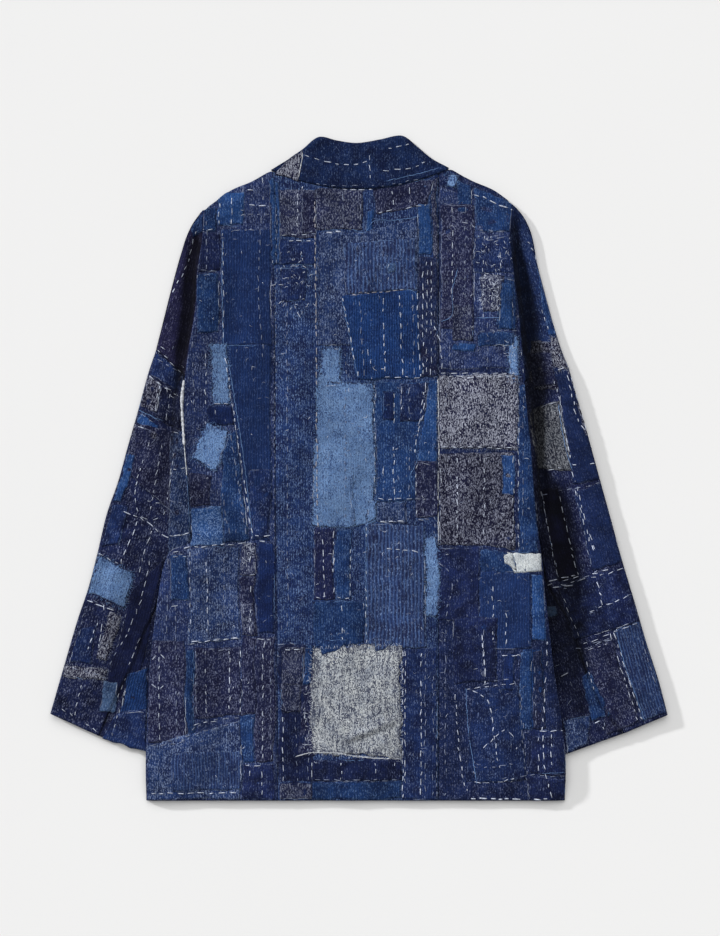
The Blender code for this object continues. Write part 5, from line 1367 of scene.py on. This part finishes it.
def collar_top(x, y):
    """Upper surface of the collar band, for places on it."""
    top_x, top_y = zip(*COLLAR_TOP)
    seam_x = x
    for _ in range(6):
        above_x = np.interp(seam_x, COLLAR_SEAM_X, top_x)
        above_y = np.interp(seam_x, COLLAR_SEAM_X, top_y)
        level = np.clip((y - neck_y(seam_x)) / (above_y - neck_y(seam_x)), 0.0, 1.0)
        seam_x = x - level * (above_x - seam_x)
    return collar_height(seam_x, level) + collar_relief(x, y) * smooth(level, 0.0, 0.15)


def collar_height(seam_x, level):
    ends = np.minimum(np.abs(seam_x) / NECK_HALF, 1.0) ** 4
    edge_roll = 1.1 * smooth(level, 0.90, 1.0) ** 2
    flat = mix(COLLAR_AT_SEAM, mix(COLLAR_AT_TOP, COLLAR_AT_SEAM, ends), smooth(level, 0.0, 1.0))
    return flat + 0.7 * np.exp(-(((level - 0.16) / 0.13) ** 2)) - edge_roll


def make_collar():
    curve = smooth_curve([(seam, top[0]) for seam, top in zip(COLLAR_SEAM_X, COLLAR_TOP)])
    rise = smooth_curve([(seam, top[1]) for seam, top in zip(COLLAR_SEAM_X, COLLAR_TOP)], 0.2)
    seam_x = mix(COLLAR_SEAM_X[0], COLLAR_SEAM_X[-1], steps(22.2, 0.28))[None, :]
    top_x = np.interp(seam_x, curve[:, 0], curve[:, 1])
    top_y = np.interp(seam_x, rise[:, 0], rise[:, 1])
    level = steps(6.2, 0.28)[:, None]
    x = mix(seam_x, top_x, level)
    y = mix(neck_y(seam_x) + SEAM_GAP, top_y, level)
    relief = collar_relief(x, y) * smooth(level, 0.0, 0.15)
    z = collar_height(seam_x, level) + relief
    return shell("collar_back_cloth", [(x, y, z, wear_and_shade_of(relief), 0)], [cloth_material("collar")], BAND_WALL)


def make_front_band(name, sign):
    y = (76.5 * steps(76.5, 0.5))[:, None]
    outer = table_at(BAND_SEAM, y) - SEAM_GAP
    inner = np.maximum(outer - BAND_WIDTH, SEAM_GAP)
    x = mix(inner, outer, steps(BAND_WIDTH, 0.5)[None, :])
    z = np.full(x.shape, BAND_WALL)
    grids = [(sign * x, np.broadcast_to(y, x.shape), z, wear_and_shade_of(0.6 * crumple(x, y, 2.5, 31)), 0)]
    return shell(f"{name}_cloth", grids, [cloth_material("collar")], BAND_WALL)


def tube(name, side, x, y, raised, materials):
    """A flattened tube: across the top to its fold, and back below."""
    away = np.hypot(x - x[:, -1:], y - y[:, -1:])
    top = arm_top(side, x, y, away, raised)
    under = arm_under(side, x, y, away, raised)
    wear_and_shade = wear_and_shade_of(arm_relief(side, x, y) * arm_calm(side, x, y, away), arm_hollow_shade(side, x, y))
    grids = [
        (side.sign * x, y, top, wear_and_shade, 0),
        (side.sign * x[:, ::-1], y[:, ::-1], under[:, ::-1], np.zeros_like(wear_and_shade), 0),
    ]
    return shell(name, grids, materials, by_normal=True)


def make_sleeve(name, side, material):
    shares_down = np.concatenate([np.linspace(0.0, 0.1, 18), np.linspace(0.1, 1.0, 116)[1:]])
    x, y = sleeve_plan(side, edge_steps(15.0), shares_down)
    x[:, 0] += SEAM_GAP
    y[0] -= SEAM_GAP
    x[0] += SEAM_GAP
    return tube(f"{name}_cloth", side, x, y, OUTER_LIFT, [material])


def make_under_sleeve(name, side, material):
    shares = np.linspace(0.11, 1.0, 80)
    seam_x, seam_y = along(side.seam, shares)
    inner_x, inner_y = along(side.inner, shares)
    across = edge_steps(8.0, 0.5, 0.5)[None, :]
    x = mix(seam_x[:, None] - SEAM_GAP, inner_x[:, None], across)
    y = mix(seam_y[:, None], inner_y[:, None], across)
    return tube(f"{name}_cloth", side, x, y, 0.0, [material])


# ---------------------------------------------------------------- patches

def panel_top(panel, x, y):
    """The cloth's upper surface under a patch or a stitch, and its worn fading and painted shade there."""
    if panel == "collar":
        return collar_top(x, y), wear_and_shade_of(collar_relief(x, y))
    if panel.startswith("arm"):
        side = SIDES[panel[4:]]
        out = side.sign * x
        return arm_top(side, out, y), wear_and_shade_of(arm_relief(side, out, y), arm_hollow_shade(side, out, y))
    return back_top(x, y), wear_and_shade_of(body_relief(x, y), body_hollow_shade(x, y))


def kept_inside(panel, x, y, margin=0.06):
    """The plan places moved in, where they would pass the panel's own folds and edges."""
    y = np.maximum(y, margin)
    if panel == "collar":
        top_x = [place[0] for place in COLLAR_TOP]
        return x, np.minimum(y, np.interp(x, top_x, [place[1] for place in COLLAR_TOP]) - margin)
    side_name = "left" if panel.endswith("left") else "right"
    side = SIDES[side_name]
    if panel.startswith("arm"):
        outline = np.concatenate([side.drop[::-1], side.outer])
        out = np.minimum(side.sign * x, x_at(outline, y) - margin)
        lowest = np.where(y > UNDERARM_Y, x_at(side.edge, y) + margin, 0.0)
        return side.sign * np.maximum(out, lowest), y
    limit = sides_of(x, lambda side, out: x_at(side.edge, y)) - margin
    x = np.clip(x, -limit, limit)
    shoulder = sides_of(x, lambda side, out: np.interp(out, side.top[:, 0], side.top[:, 1]))
    highest = np.where(np.abs(x) < 10.0, neck_y(x), shoulder) - 2.0 * margin
    return x, np.minimum(y, highest)


def overlap(a, b, margin=0.15):
    (a_low, a_high), (b_low, b_high) = [
        (np.min(patch.corners, axis=0), np.max(patch.corners, axis=0)) for patch in (a, b)
    ]
    return bool(np.all(a_low < b_high - margin) and np.all(b_low < a_high - margin))


def layers_of(patches):
    """How many patches lie under each one, counted from the panel."""
    layers = []
    for index, patch in enumerate(patches):
        below = [layers[k] for k in range(index) if overlap(patches[k], patch)]
        layers.append(1 + max(below, default=-1))
    return layers


def patch_plan(panel, patch, seed):
    """A grid across a patch with a slightly uneven outline, and each place's distance from the border."""
    corners = np.array(patch.corners, float)
    width = 0.5 * (np.hypot(*(corners[1] - corners[0])) + np.hypot(*(corners[2] - corners[3])))
    length = 0.5 * (np.hypot(*(corners[3] - corners[0])) + np.hypot(*(corners[2] - corners[1])))
    u, v = steps(width, PATCH_CELL)[None, :], steps(length, PATCH_CELL)[:, None]
    x, y = [
        mix(mix(corners[0, k], corners[1, k], u), mix(corners[3, k], corners[2, k], u), v) for k in (0, 1)
    ]
    border = np.minimum(np.minimum(u, 1.0 - u) * width, np.minimum(v, 1.0 - v) * length)
    ragged = RAGGED.get(patch.cloth, 0.08)
    rng = np.random.default_rng(seed)
    bend_x, bend_y = 0.13 * crumple(x, y, 4.0, 900), 0.13 * crumple(x, y, 4.0, 901)
    x, y = x + bend_x, y + bend_y
    loose = ragged * (1.0 - smooth(border, 0.0, 0.9))
    x = x + loose * (0.8 * crumple(x, y, 0.9, seed) + 0.7 * rng.uniform(-1.0, 1.0, x.shape))
    y = y + loose * (0.8 * crumple(x, y, 0.9, seed + 500) + 0.7 * rng.uniform(-1.0, 1.0, x.shape))
    x, y = kept_inside(panel, x, y)
    return x, y, border


def make_patches(panel, patches, angle, replaced):
    """All patches of one panel as one mesh of thin sheets with turned-down edges."""
    kinds = sorted({patch.cloth for patch in patches})
    places, faces, slots, covers = [], [], [], []
    values = {"wear_and_shade": [], "edge": [], "patch": []}
    count = 0
    for index, (patch, layer) in enumerate(zip(patches, layers_of(patches))):
        seed = 100 + 7 * index + 31 * len(panel)
        x, y, border = patch_plan(panel, patch, seed)
        lift = PATCH_LIFT + LAYER_LIFT * layer
        covers.append((np.array(patch.corners, float), lift))
        height, panel_wear_and_shade = panel_top(panel, x, y)
        puff = 0.14 * crumple(x, y, 0.9, seed + 1)
        z = height + lift + puff * smooth(border, 0.0, 0.5)
        rows, columns = x.shape
        skin = grid_faces(rows, columns, count)
        rim = [(0, c) for c in range(columns)] + [(r, columns - 1) for r in range(1, rows)]
        rim += [(rows - 1, c) for c in range(columns - 2, -1, -1)] + [(r, 0) for r in range(rows - 2, 0, -1)]
        rim_rows, rim_columns = np.array(rim).T
        upper = count + rim_rows * columns + rim_columns
        lower = count + rows * columns + np.arange(len(rim))
        skirt = np.stack([np.roll(upper, -1), upper, lower, np.roll(lower, -1)], axis=1)
        grid = metres(x, y, z)
        at_rim = rim_rows, rim_columns
        edge_places = metres(x[at_rim], y[at_rim], (z - lift - 0.25)[at_rim])
        corner = np.cross(grid[columns] - grid[0], grid[1] - grid[0])
        if corner[2] > 0.0:
            skin, skirt = skin[:, ::-1], skirt[:, ::-1]
        places += [grid, edge_places]
        faces += [skin, skirt]
        slots.append(np.full(len(skin) + len(skirt), kinds.index(patch.cloth)))
        # each patch takes the worn fading and painted shade of the cloth below it
        wear_and_shade = np.maximum(panel_wear_and_shade, -2.6)
        lot = np.random.default_rng(seed + 2).uniform()
        total = grid.shape[0] + len(rim)
        values["wear_and_shade"] += [wear_and_shade.ravel(), np.zeros(len(rim))]
        values["edge"] += [np.clip(border / 0.8, 0.0, 1.0).ravel(), np.zeros(len(rim))]
        values["patch"].append(np.full(total, lot))
        count += total
    values = {key: np.concatenate(numbers) for key, numbers in values.items()}
    materials = [cloth_material(kind, angle) for kind in kinds]
    name = f"patches_{panel}"
    piece = make_mesh(
        name, np.concatenate(places), np.concatenate(faces), materials, np.concatenate(slots), values)
    if replaced:
        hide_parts(*replaced)
    return piece, covers


def cover_at(covers, x, y):
    """How far the patches raise the surface at each place, in millimetres."""
    raised = np.zeros(np.shape(x))
    for corners, lift in covers:
        turns = []
        for (x0, y0), (x1, y1) in zip(corners, np.roll(corners, -1, axis=0)):
            turns.append((x1 - x0) * (y - y0) - (y1 - y0) * (x - x0) <= 0.0)
        inside = np.logical_and.reduce(turns)
        raised = np.where(inside, np.maximum(raised, lift), raised)
    return raised


# ---------------------------------------------------------------- stitches and threads

class Strands:
    """Short lengths of thread, gathered as rings and then made one mesh."""

    def __init__(self, seed):
        self.rng = np.random.default_rng(seed)
        self.items = []

    def add(self, places, radii, lifts, kind):
        self.items.append((*[np.asarray(each, float) for each in (places, radii, lifts)], kind))

    def running(self, places, kind, stitch=0.78, gap=0.42, radius=0.52):
        """Running stitches along a line, uneven in length, place and direction."""
        curve = smooth_curve(places, 0.1) if len(places) > 2 else np.array(places, float)
        run = np.concatenate([[0.0], np.cumsum(np.hypot(*np.diff(curve, axis=0).T))])
        line_radius = radius * self.rng.uniform(0.7, 1.1)
        if kind == "w" and self.rng.uniform() < DIRTY_ROWS:
            kind = "dim"
        at = 0.12
        while at < run[-1] - 0.25:
            length = min(stitch * self.rng.uniform(0.55, 1.35), run[-1] - at)
            x, y = along(curve, (at + length * np.linspace(0.0, 1.0, 6)) / run[-1])
            away = np.array([np.gradient(y)[2], -np.gradient(x)[2]])
            away /= max(np.hypot(*away), 1e-9)
            shift = self.rng.normal(0.0, 0.05) + np.linspace(-0.5, 0.5, 6) * self.rng.normal(0.0, 0.09)
            thick = line_radius * self.rng.uniform(0.75, 1.15)
            profile = np.array([0.5, 0.92, 1.0, 1.0, 0.92, 0.5])
            lifts = np.array([-0.5, 0.12, 0.3, 0.3, 0.12, -0.5])
            if self.rng.uniform() > WORN_STITCHES:
                spots = np.stack([x + away[0] * shift, y + away[1] * shift], axis=1)
                self.add(spots, thick * profile, lifts, kind)
            at += length + gap * self.rng.uniform(0.65, 1.4)

    def continuous(self, places, kind, radius, wobble=0.03):
        """One long thread that wanders and thins a little along its line."""
        curve = smooth_curve(places, 0.25)
        away = np.stack([np.gradient(curve[:, 1]), -np.gradient(curve[:, 0])], axis=1)
        away /= np.maximum(np.hypot(*away.T)[:, None], 1e-9)
        shift = wobble * self.rng.normal(0.0, 1.0, len(curve))
        radii = radius * self.rng.uniform(0.55, 1.1, len(curve))
        radii[0] = radii[-1] = 0.2 * radius
        self.add(curve + away * shift[:, None], radii, 0.2 * radii, kind)

    def contour(self, ends):
        """Sometimes, a thin wandering thread over part of a patch's border."""
        if self.rng.uniform() > CONTOUR_SHARE:
            return
        start, end = np.array(ends, float)
        first, last = np.sort(self.rng.uniform(0.0, 1.0, 2))
        length = np.hypot(*(end - start)) * (last - first)
        if length > 0.8:
            count = int(length / 0.7) + 2
            places = start + (end - start) * np.linspace(first, last, count)[:, None]
            places += self.rng.normal(0.0, 0.05, places.shape)
            self.continuous(places, self.rng.choice(["dim", "blue", "w"]), 0.26, 0.02)

    def fray(self, corners, kind, spacing=0.32):
        """Loose ends that stand out from a ragged border."""
        middle = np.mean(corners, axis=0)
        for start, end in zip(corners, np.roll(corners, -1, axis=0)):
            side = end - start
            length = np.hypot(*side)
            for share in np.arange(0.1, length - 0.1, spacing) / max(length, 0.2):
                share += self.rng.uniform(-0.12, 0.12) / length
                root = start + side * share
                outwards = np.array([side[1], -side[0]]) / length
                outwards = outwards if np.dot(outwards, root - middle) > 0.0 else -outwards
                outwards = outwards + side / length * self.rng.normal(0.0, 0.55)
                reach = self.rng.uniform(0.12, 0.42)
                bend = np.array([-outwards[1], outwards[0]]) * self.rng.normal(0.0, 0.3)
                halfway = root + 0.5 * reach * (outwards + bend)
                places = [root - 0.1 * outwards, halfway, root + reach * outwards]
                self.add(places, [0.16, 0.17, 0.10], [0.1, 0.22, 0.05], kind)

    def scatter(self, corners, kind, count, length=0.45, radius=0.3):
        """Short crossing darns over a region given by two opposite corners."""
        (x0, y0), (x1, y1) = corners
        for _ in range(count):
            x, y = self.rng.uniform(min(x0, x1), max(x0, x1)), self.rng.uniform(min(y0, y1), max(y0, y1))
            angle = self.rng.choice([0.0, 0.5 * math.pi]) + self.rng.normal(0.0, 0.5)
            half = 0.5 * length * self.rng.uniform(0.6, 1.4) * np.array([math.cos(angle), math.sin(angle)])
            bow = np.array([-half[1], half[0]]) * self.rng.normal(0.0, 0.4)
            places = [np.array([x, y]) - half, np.array([x, y]) + bow, np.array([x, y]) + half]
            self.add(places, [0.6 * radius, radius, 0.6 * radius], [-0.1, 0.15, -0.1], kind)

    def mesh(self, name, panel, covers, sides=6):
        """One mesh of all strands, lying on the panel and whatever patches cover it."""
        every = np.concatenate([item[0] for item in self.items])
        x, y = kept_inside(panel, every[:, 0], every[:, 1])
        height, wear_and_shade_values = panel_top(panel, x, y)
        height = height + cover_at(covers, x, y)
        at_edges = [item[3] == "edge" for item in self.items]
        counts = [len(item[0]) for item in self.items]
        wear_and_shade_values = np.where(np.repeat(at_edges, counts), 0.0, wear_and_shade_values)
        kinds = sorted({item[3] for item in self.items})
        turn = 2 * math.pi * np.arange(sides) / sides
        places, faces, slots, start, count = [], [], [], 0, 0
        for own, radii, lifts, kind in self.items:
            rings = len(own)
            px, py, pz = x[start:start + rings], y[start:start + rings], height[start:start + rings] + lifts
            start += rings
            across = np.stack([np.gradient(py), -np.gradient(px)], axis=1)
            across /= np.maximum(np.hypot(*across.T)[:, None], 1e-9)
            wide = radii[:, None] * np.cos(turn) * MM_IN_CM
            ring_x = px[:, None] + across[:, :1] * wide
            ring_y = py[:, None] + across[:, 1:] * wide
            ring_z = pz[:, None] + 0.8 * radii[:, None] * np.sin(turn)
            places.append(metres(ring_x, ring_y, ring_z))
            for r in range(rings - 1):
                for s in range(sides):
                    t = (s + 1) % sides
                    low, high = count + r * sides, count + (r + 1) * sides
                    faces.append((low + s, high + s, high + t, low + t))
            faces.append(tuple(count + s for s in range(sides)))
            faces.append(tuple(count + (rings - 1) * sides + s for s in reversed(range(sides))))
            slots += [kinds.index(kind)] * ((rings - 1) * sides + 2)
            count += rings * sides
        materials = [thread_material(kind) for kind in kinds]
        # threads take the worn fading and painted shade of the cloth below, except the edge threads
        values = {"wear_and_shade": np.repeat(np.maximum(wear_and_shade_values, -2.6), sides)}
        return make_mesh(name, np.concatenate(places), faces, materials, slots, values)


def border_line(corners, side, inset=0.28):
    """The line of stitches inside one side of a patch: left, right, top or bottom."""
    upper_left, upper_right, lower_right, lower_left = [np.array(corner, float) for corner in corners]
    ends = {
        "l": (upper_left, lower_left), "r": (upper_right, lower_right),
        "t": (upper_left, upper_right), "b": (lower_left, lower_right),
    }[side]
    middle = np.mean([upper_left, upper_right, lower_right, lower_left], axis=0)
    return [tuple(end + (middle - end) * inset / max(np.hypot(*(middle - end)), 0.3)) for end in ends]


def make_stitches(name, panels, lines, covers, height_panel, seed, extra=()):
    strands = Strands(seed)
    for patches in panels:
        for patch in patches:
            for side in patch.stitched:
                strands.running(border_line(patch.corners, side), "w")
            for side in "trbl":
                strands.contour(border_line(patch.corners, side, 0.03))
            if patch.cloth in FRAYED:
                strands.fray(np.array(patch.corners, float), FRAYED[patch.cloth])
    for line in lines:
        if line.thread == "blue":
            strands.continuous(line.places, "blue", 0.4)
        elif line.thread == "edge":
            strands.continuous(line.places, "edge", 2.0, 0.05)
        elif line.thread == "fine":
            strands.continuous(line.places, "edge", 0.6, 0.03)
        elif line.thread == "thick":
            strands.running(line.places, "w", 0.95, 0.3, 0.78)
        elif line.thread == "tan":
            strands.running(line.places, "tan", 0.8, 0.16, 0.6)
        elif line.thread == "dim":
            strands.running(line.places, "dim", 0.5, 0.4, 0.42)
        else:
            strands.running(line.places, line.thread)
    for corners, kind, count in extra:
        strands.scatter(corners, kind, count)
    return strands.mesh(name, height_panel, covers)


# ---------------------------------------------------------------- floor, light and camera

def make_stage():
    bpy.ops.mesh.primitive_plane_add(size=12.0, location=(0.0, 0.0, -0.0006))
    floor = bpy.context.object
    floor.name = "floor"
    paper = Weave("pale_paper", 0.9)
    place = paper.node("ShaderNodeTexCoord", {}, "Object")
    tone = paper.ramp(paper.noise(place, 2.0, 2.0), 0.2, 0.8)
    colour = paper.colour_mix(tone, (*[0.795] * 3, 1.0), (*[0.805] * 3, 1.0))
    paper.put(paper.shader.inputs["Base Color"], colour)
    floor.data.materials.append(paper.material)

    world = bpy.data.worlds.new("studio")
    world.use_nodes = True
    background = world.node_tree.nodes["Background"]
    background.inputs["Color"].default_value = (1.0, 0.998, 0.985, 1.0)
    background.inputs["Strength"].default_value = FILL
    bpy.context.scene.world = world

    for name, (strength, width, elevation, turn) in (("soft_lamp", SOFT_LAMP), ("key_lamp", KEY_LAMP)):
        light = bpy.data.lights.new(name, "SUN")
        light.energy = strength
        light.angle = math.radians(width)
        lamp = bpy.data.objects.new(name, light)
        lamp.rotation_euler = (0.0, math.radians(elevation - 90.0), math.radians(turn))
        bpy.context.scene.collection.objects.link(lamp)

    lens = bpy.data.cameras.new("camera")
    lens.lens = 100.0
    lens.sensor_width = 36.0
    camera = bpy.data.objects.new("camera", lens)
    camera.location = (0.00125, 0.0, 0.01 + VIEW_HEIGHT * lens.lens / lens.sensor_width)
    bpy.context.scene.collection.objects.link(camera)
    bpy.context.scene.camera = camera
    bpy.context.scene.view_settings.view_transform = "Standard"


def make_jacket():
    pieces = {}
    back_cloths = {"left": "backleft", "right": "backright"}
    for name, side in SIDES.items():
        arm = cloth_material(f"shoulder{name}", side.sign * ARM_TURN)
        materials = [cloth_material(back_cloths[name]), arm]
        pieces[f"back_{name}"] = side_panel(
            f"back_{name}_cloth", side, BACK_SEAM[side.sign], back_top, arm_top, 1.0, materials)
        pieces[f"front_{name}"] = side_panel(
            f"front_{name}_cloth", side, BAND_SEAM, front_top, front_drop, 0.0, [cloth_material("navy"), arm])
        sleeve = cloth_material(f"sleeve{name}", side.sign * ARM_TURN)
        pieces[f"sleeve_{name}"] = make_sleeve(f"sleeve_{name}", side, sleeve)
        pieces[f"under_sleeve_{name}"] = make_under_sleeve(f"under_sleeve_{name}", side, sleeve)
        pieces[f"collar_front_{name}"] = make_front_band(f"collar_front_{name}", side.sign)
    pieces["back_centre"] = make_back_centre()
    pieces["collar_back"] = make_collar()
    for node, piece in pieces.items():
        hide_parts(node)
    return pieces


def make_trimmings():
    """The patches and stitches of each panel, by the name of the cloth they lie on."""
    patches, covers = {}, {}
    for panel, table in PATCHES.items():
        angle = {"arm_left": -ARM_TURN, "arm_right": ARM_TURN}.get(panel, 0.0)
        patches[panel], covers[panel] = make_patches(
            panel, table, angle, CAD_PATCHES[panel])
    back = covers["back_left"] + covers["back_centre"] + covers["back_right"]
    back_patches = [PATCHES[panel] for panel in ("back_left", "back_centre", "back_right")]
    stitches = {
        "back": make_stitches("stitches_back", back_patches, STITCH_LINES["body"], back, "body", 41, DARNS),
    }
    for panel in ("arm_left", "arm_right"):
        stitches[panel] = make_stitches(
            f"stitches_{panel}", [PATCHES[panel]], STITCH_LINES[panel], covers[panel], panel, 43)
    stitches["collar"] = make_stitches(
        "stitches_collar", [], STITCH_LINES["collar"], covers["collar"], "collar", 47)
    return {
        "back_centre": [patches["back_centre"], stitches["back"]],
        "back_left": [patches["back_left"]],
        "back_right": [patches["back_right"]],
        "sleeve_left": [patches["arm_left"], stitches["arm_left"]],
        "sleeve_right": [patches["arm_right"], stitches["arm_right"]],
        "collar_back": [patches["collar"], stitches["collar"]],
    }


def declare_sheets(pieces, trimmings):
    """Goes through the pieces and does nothing with them."""
    for node, piece in pieces.items():
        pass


jacket = make_jacket()
declare_sheets(jacket, make_trimmings())
make_stage()
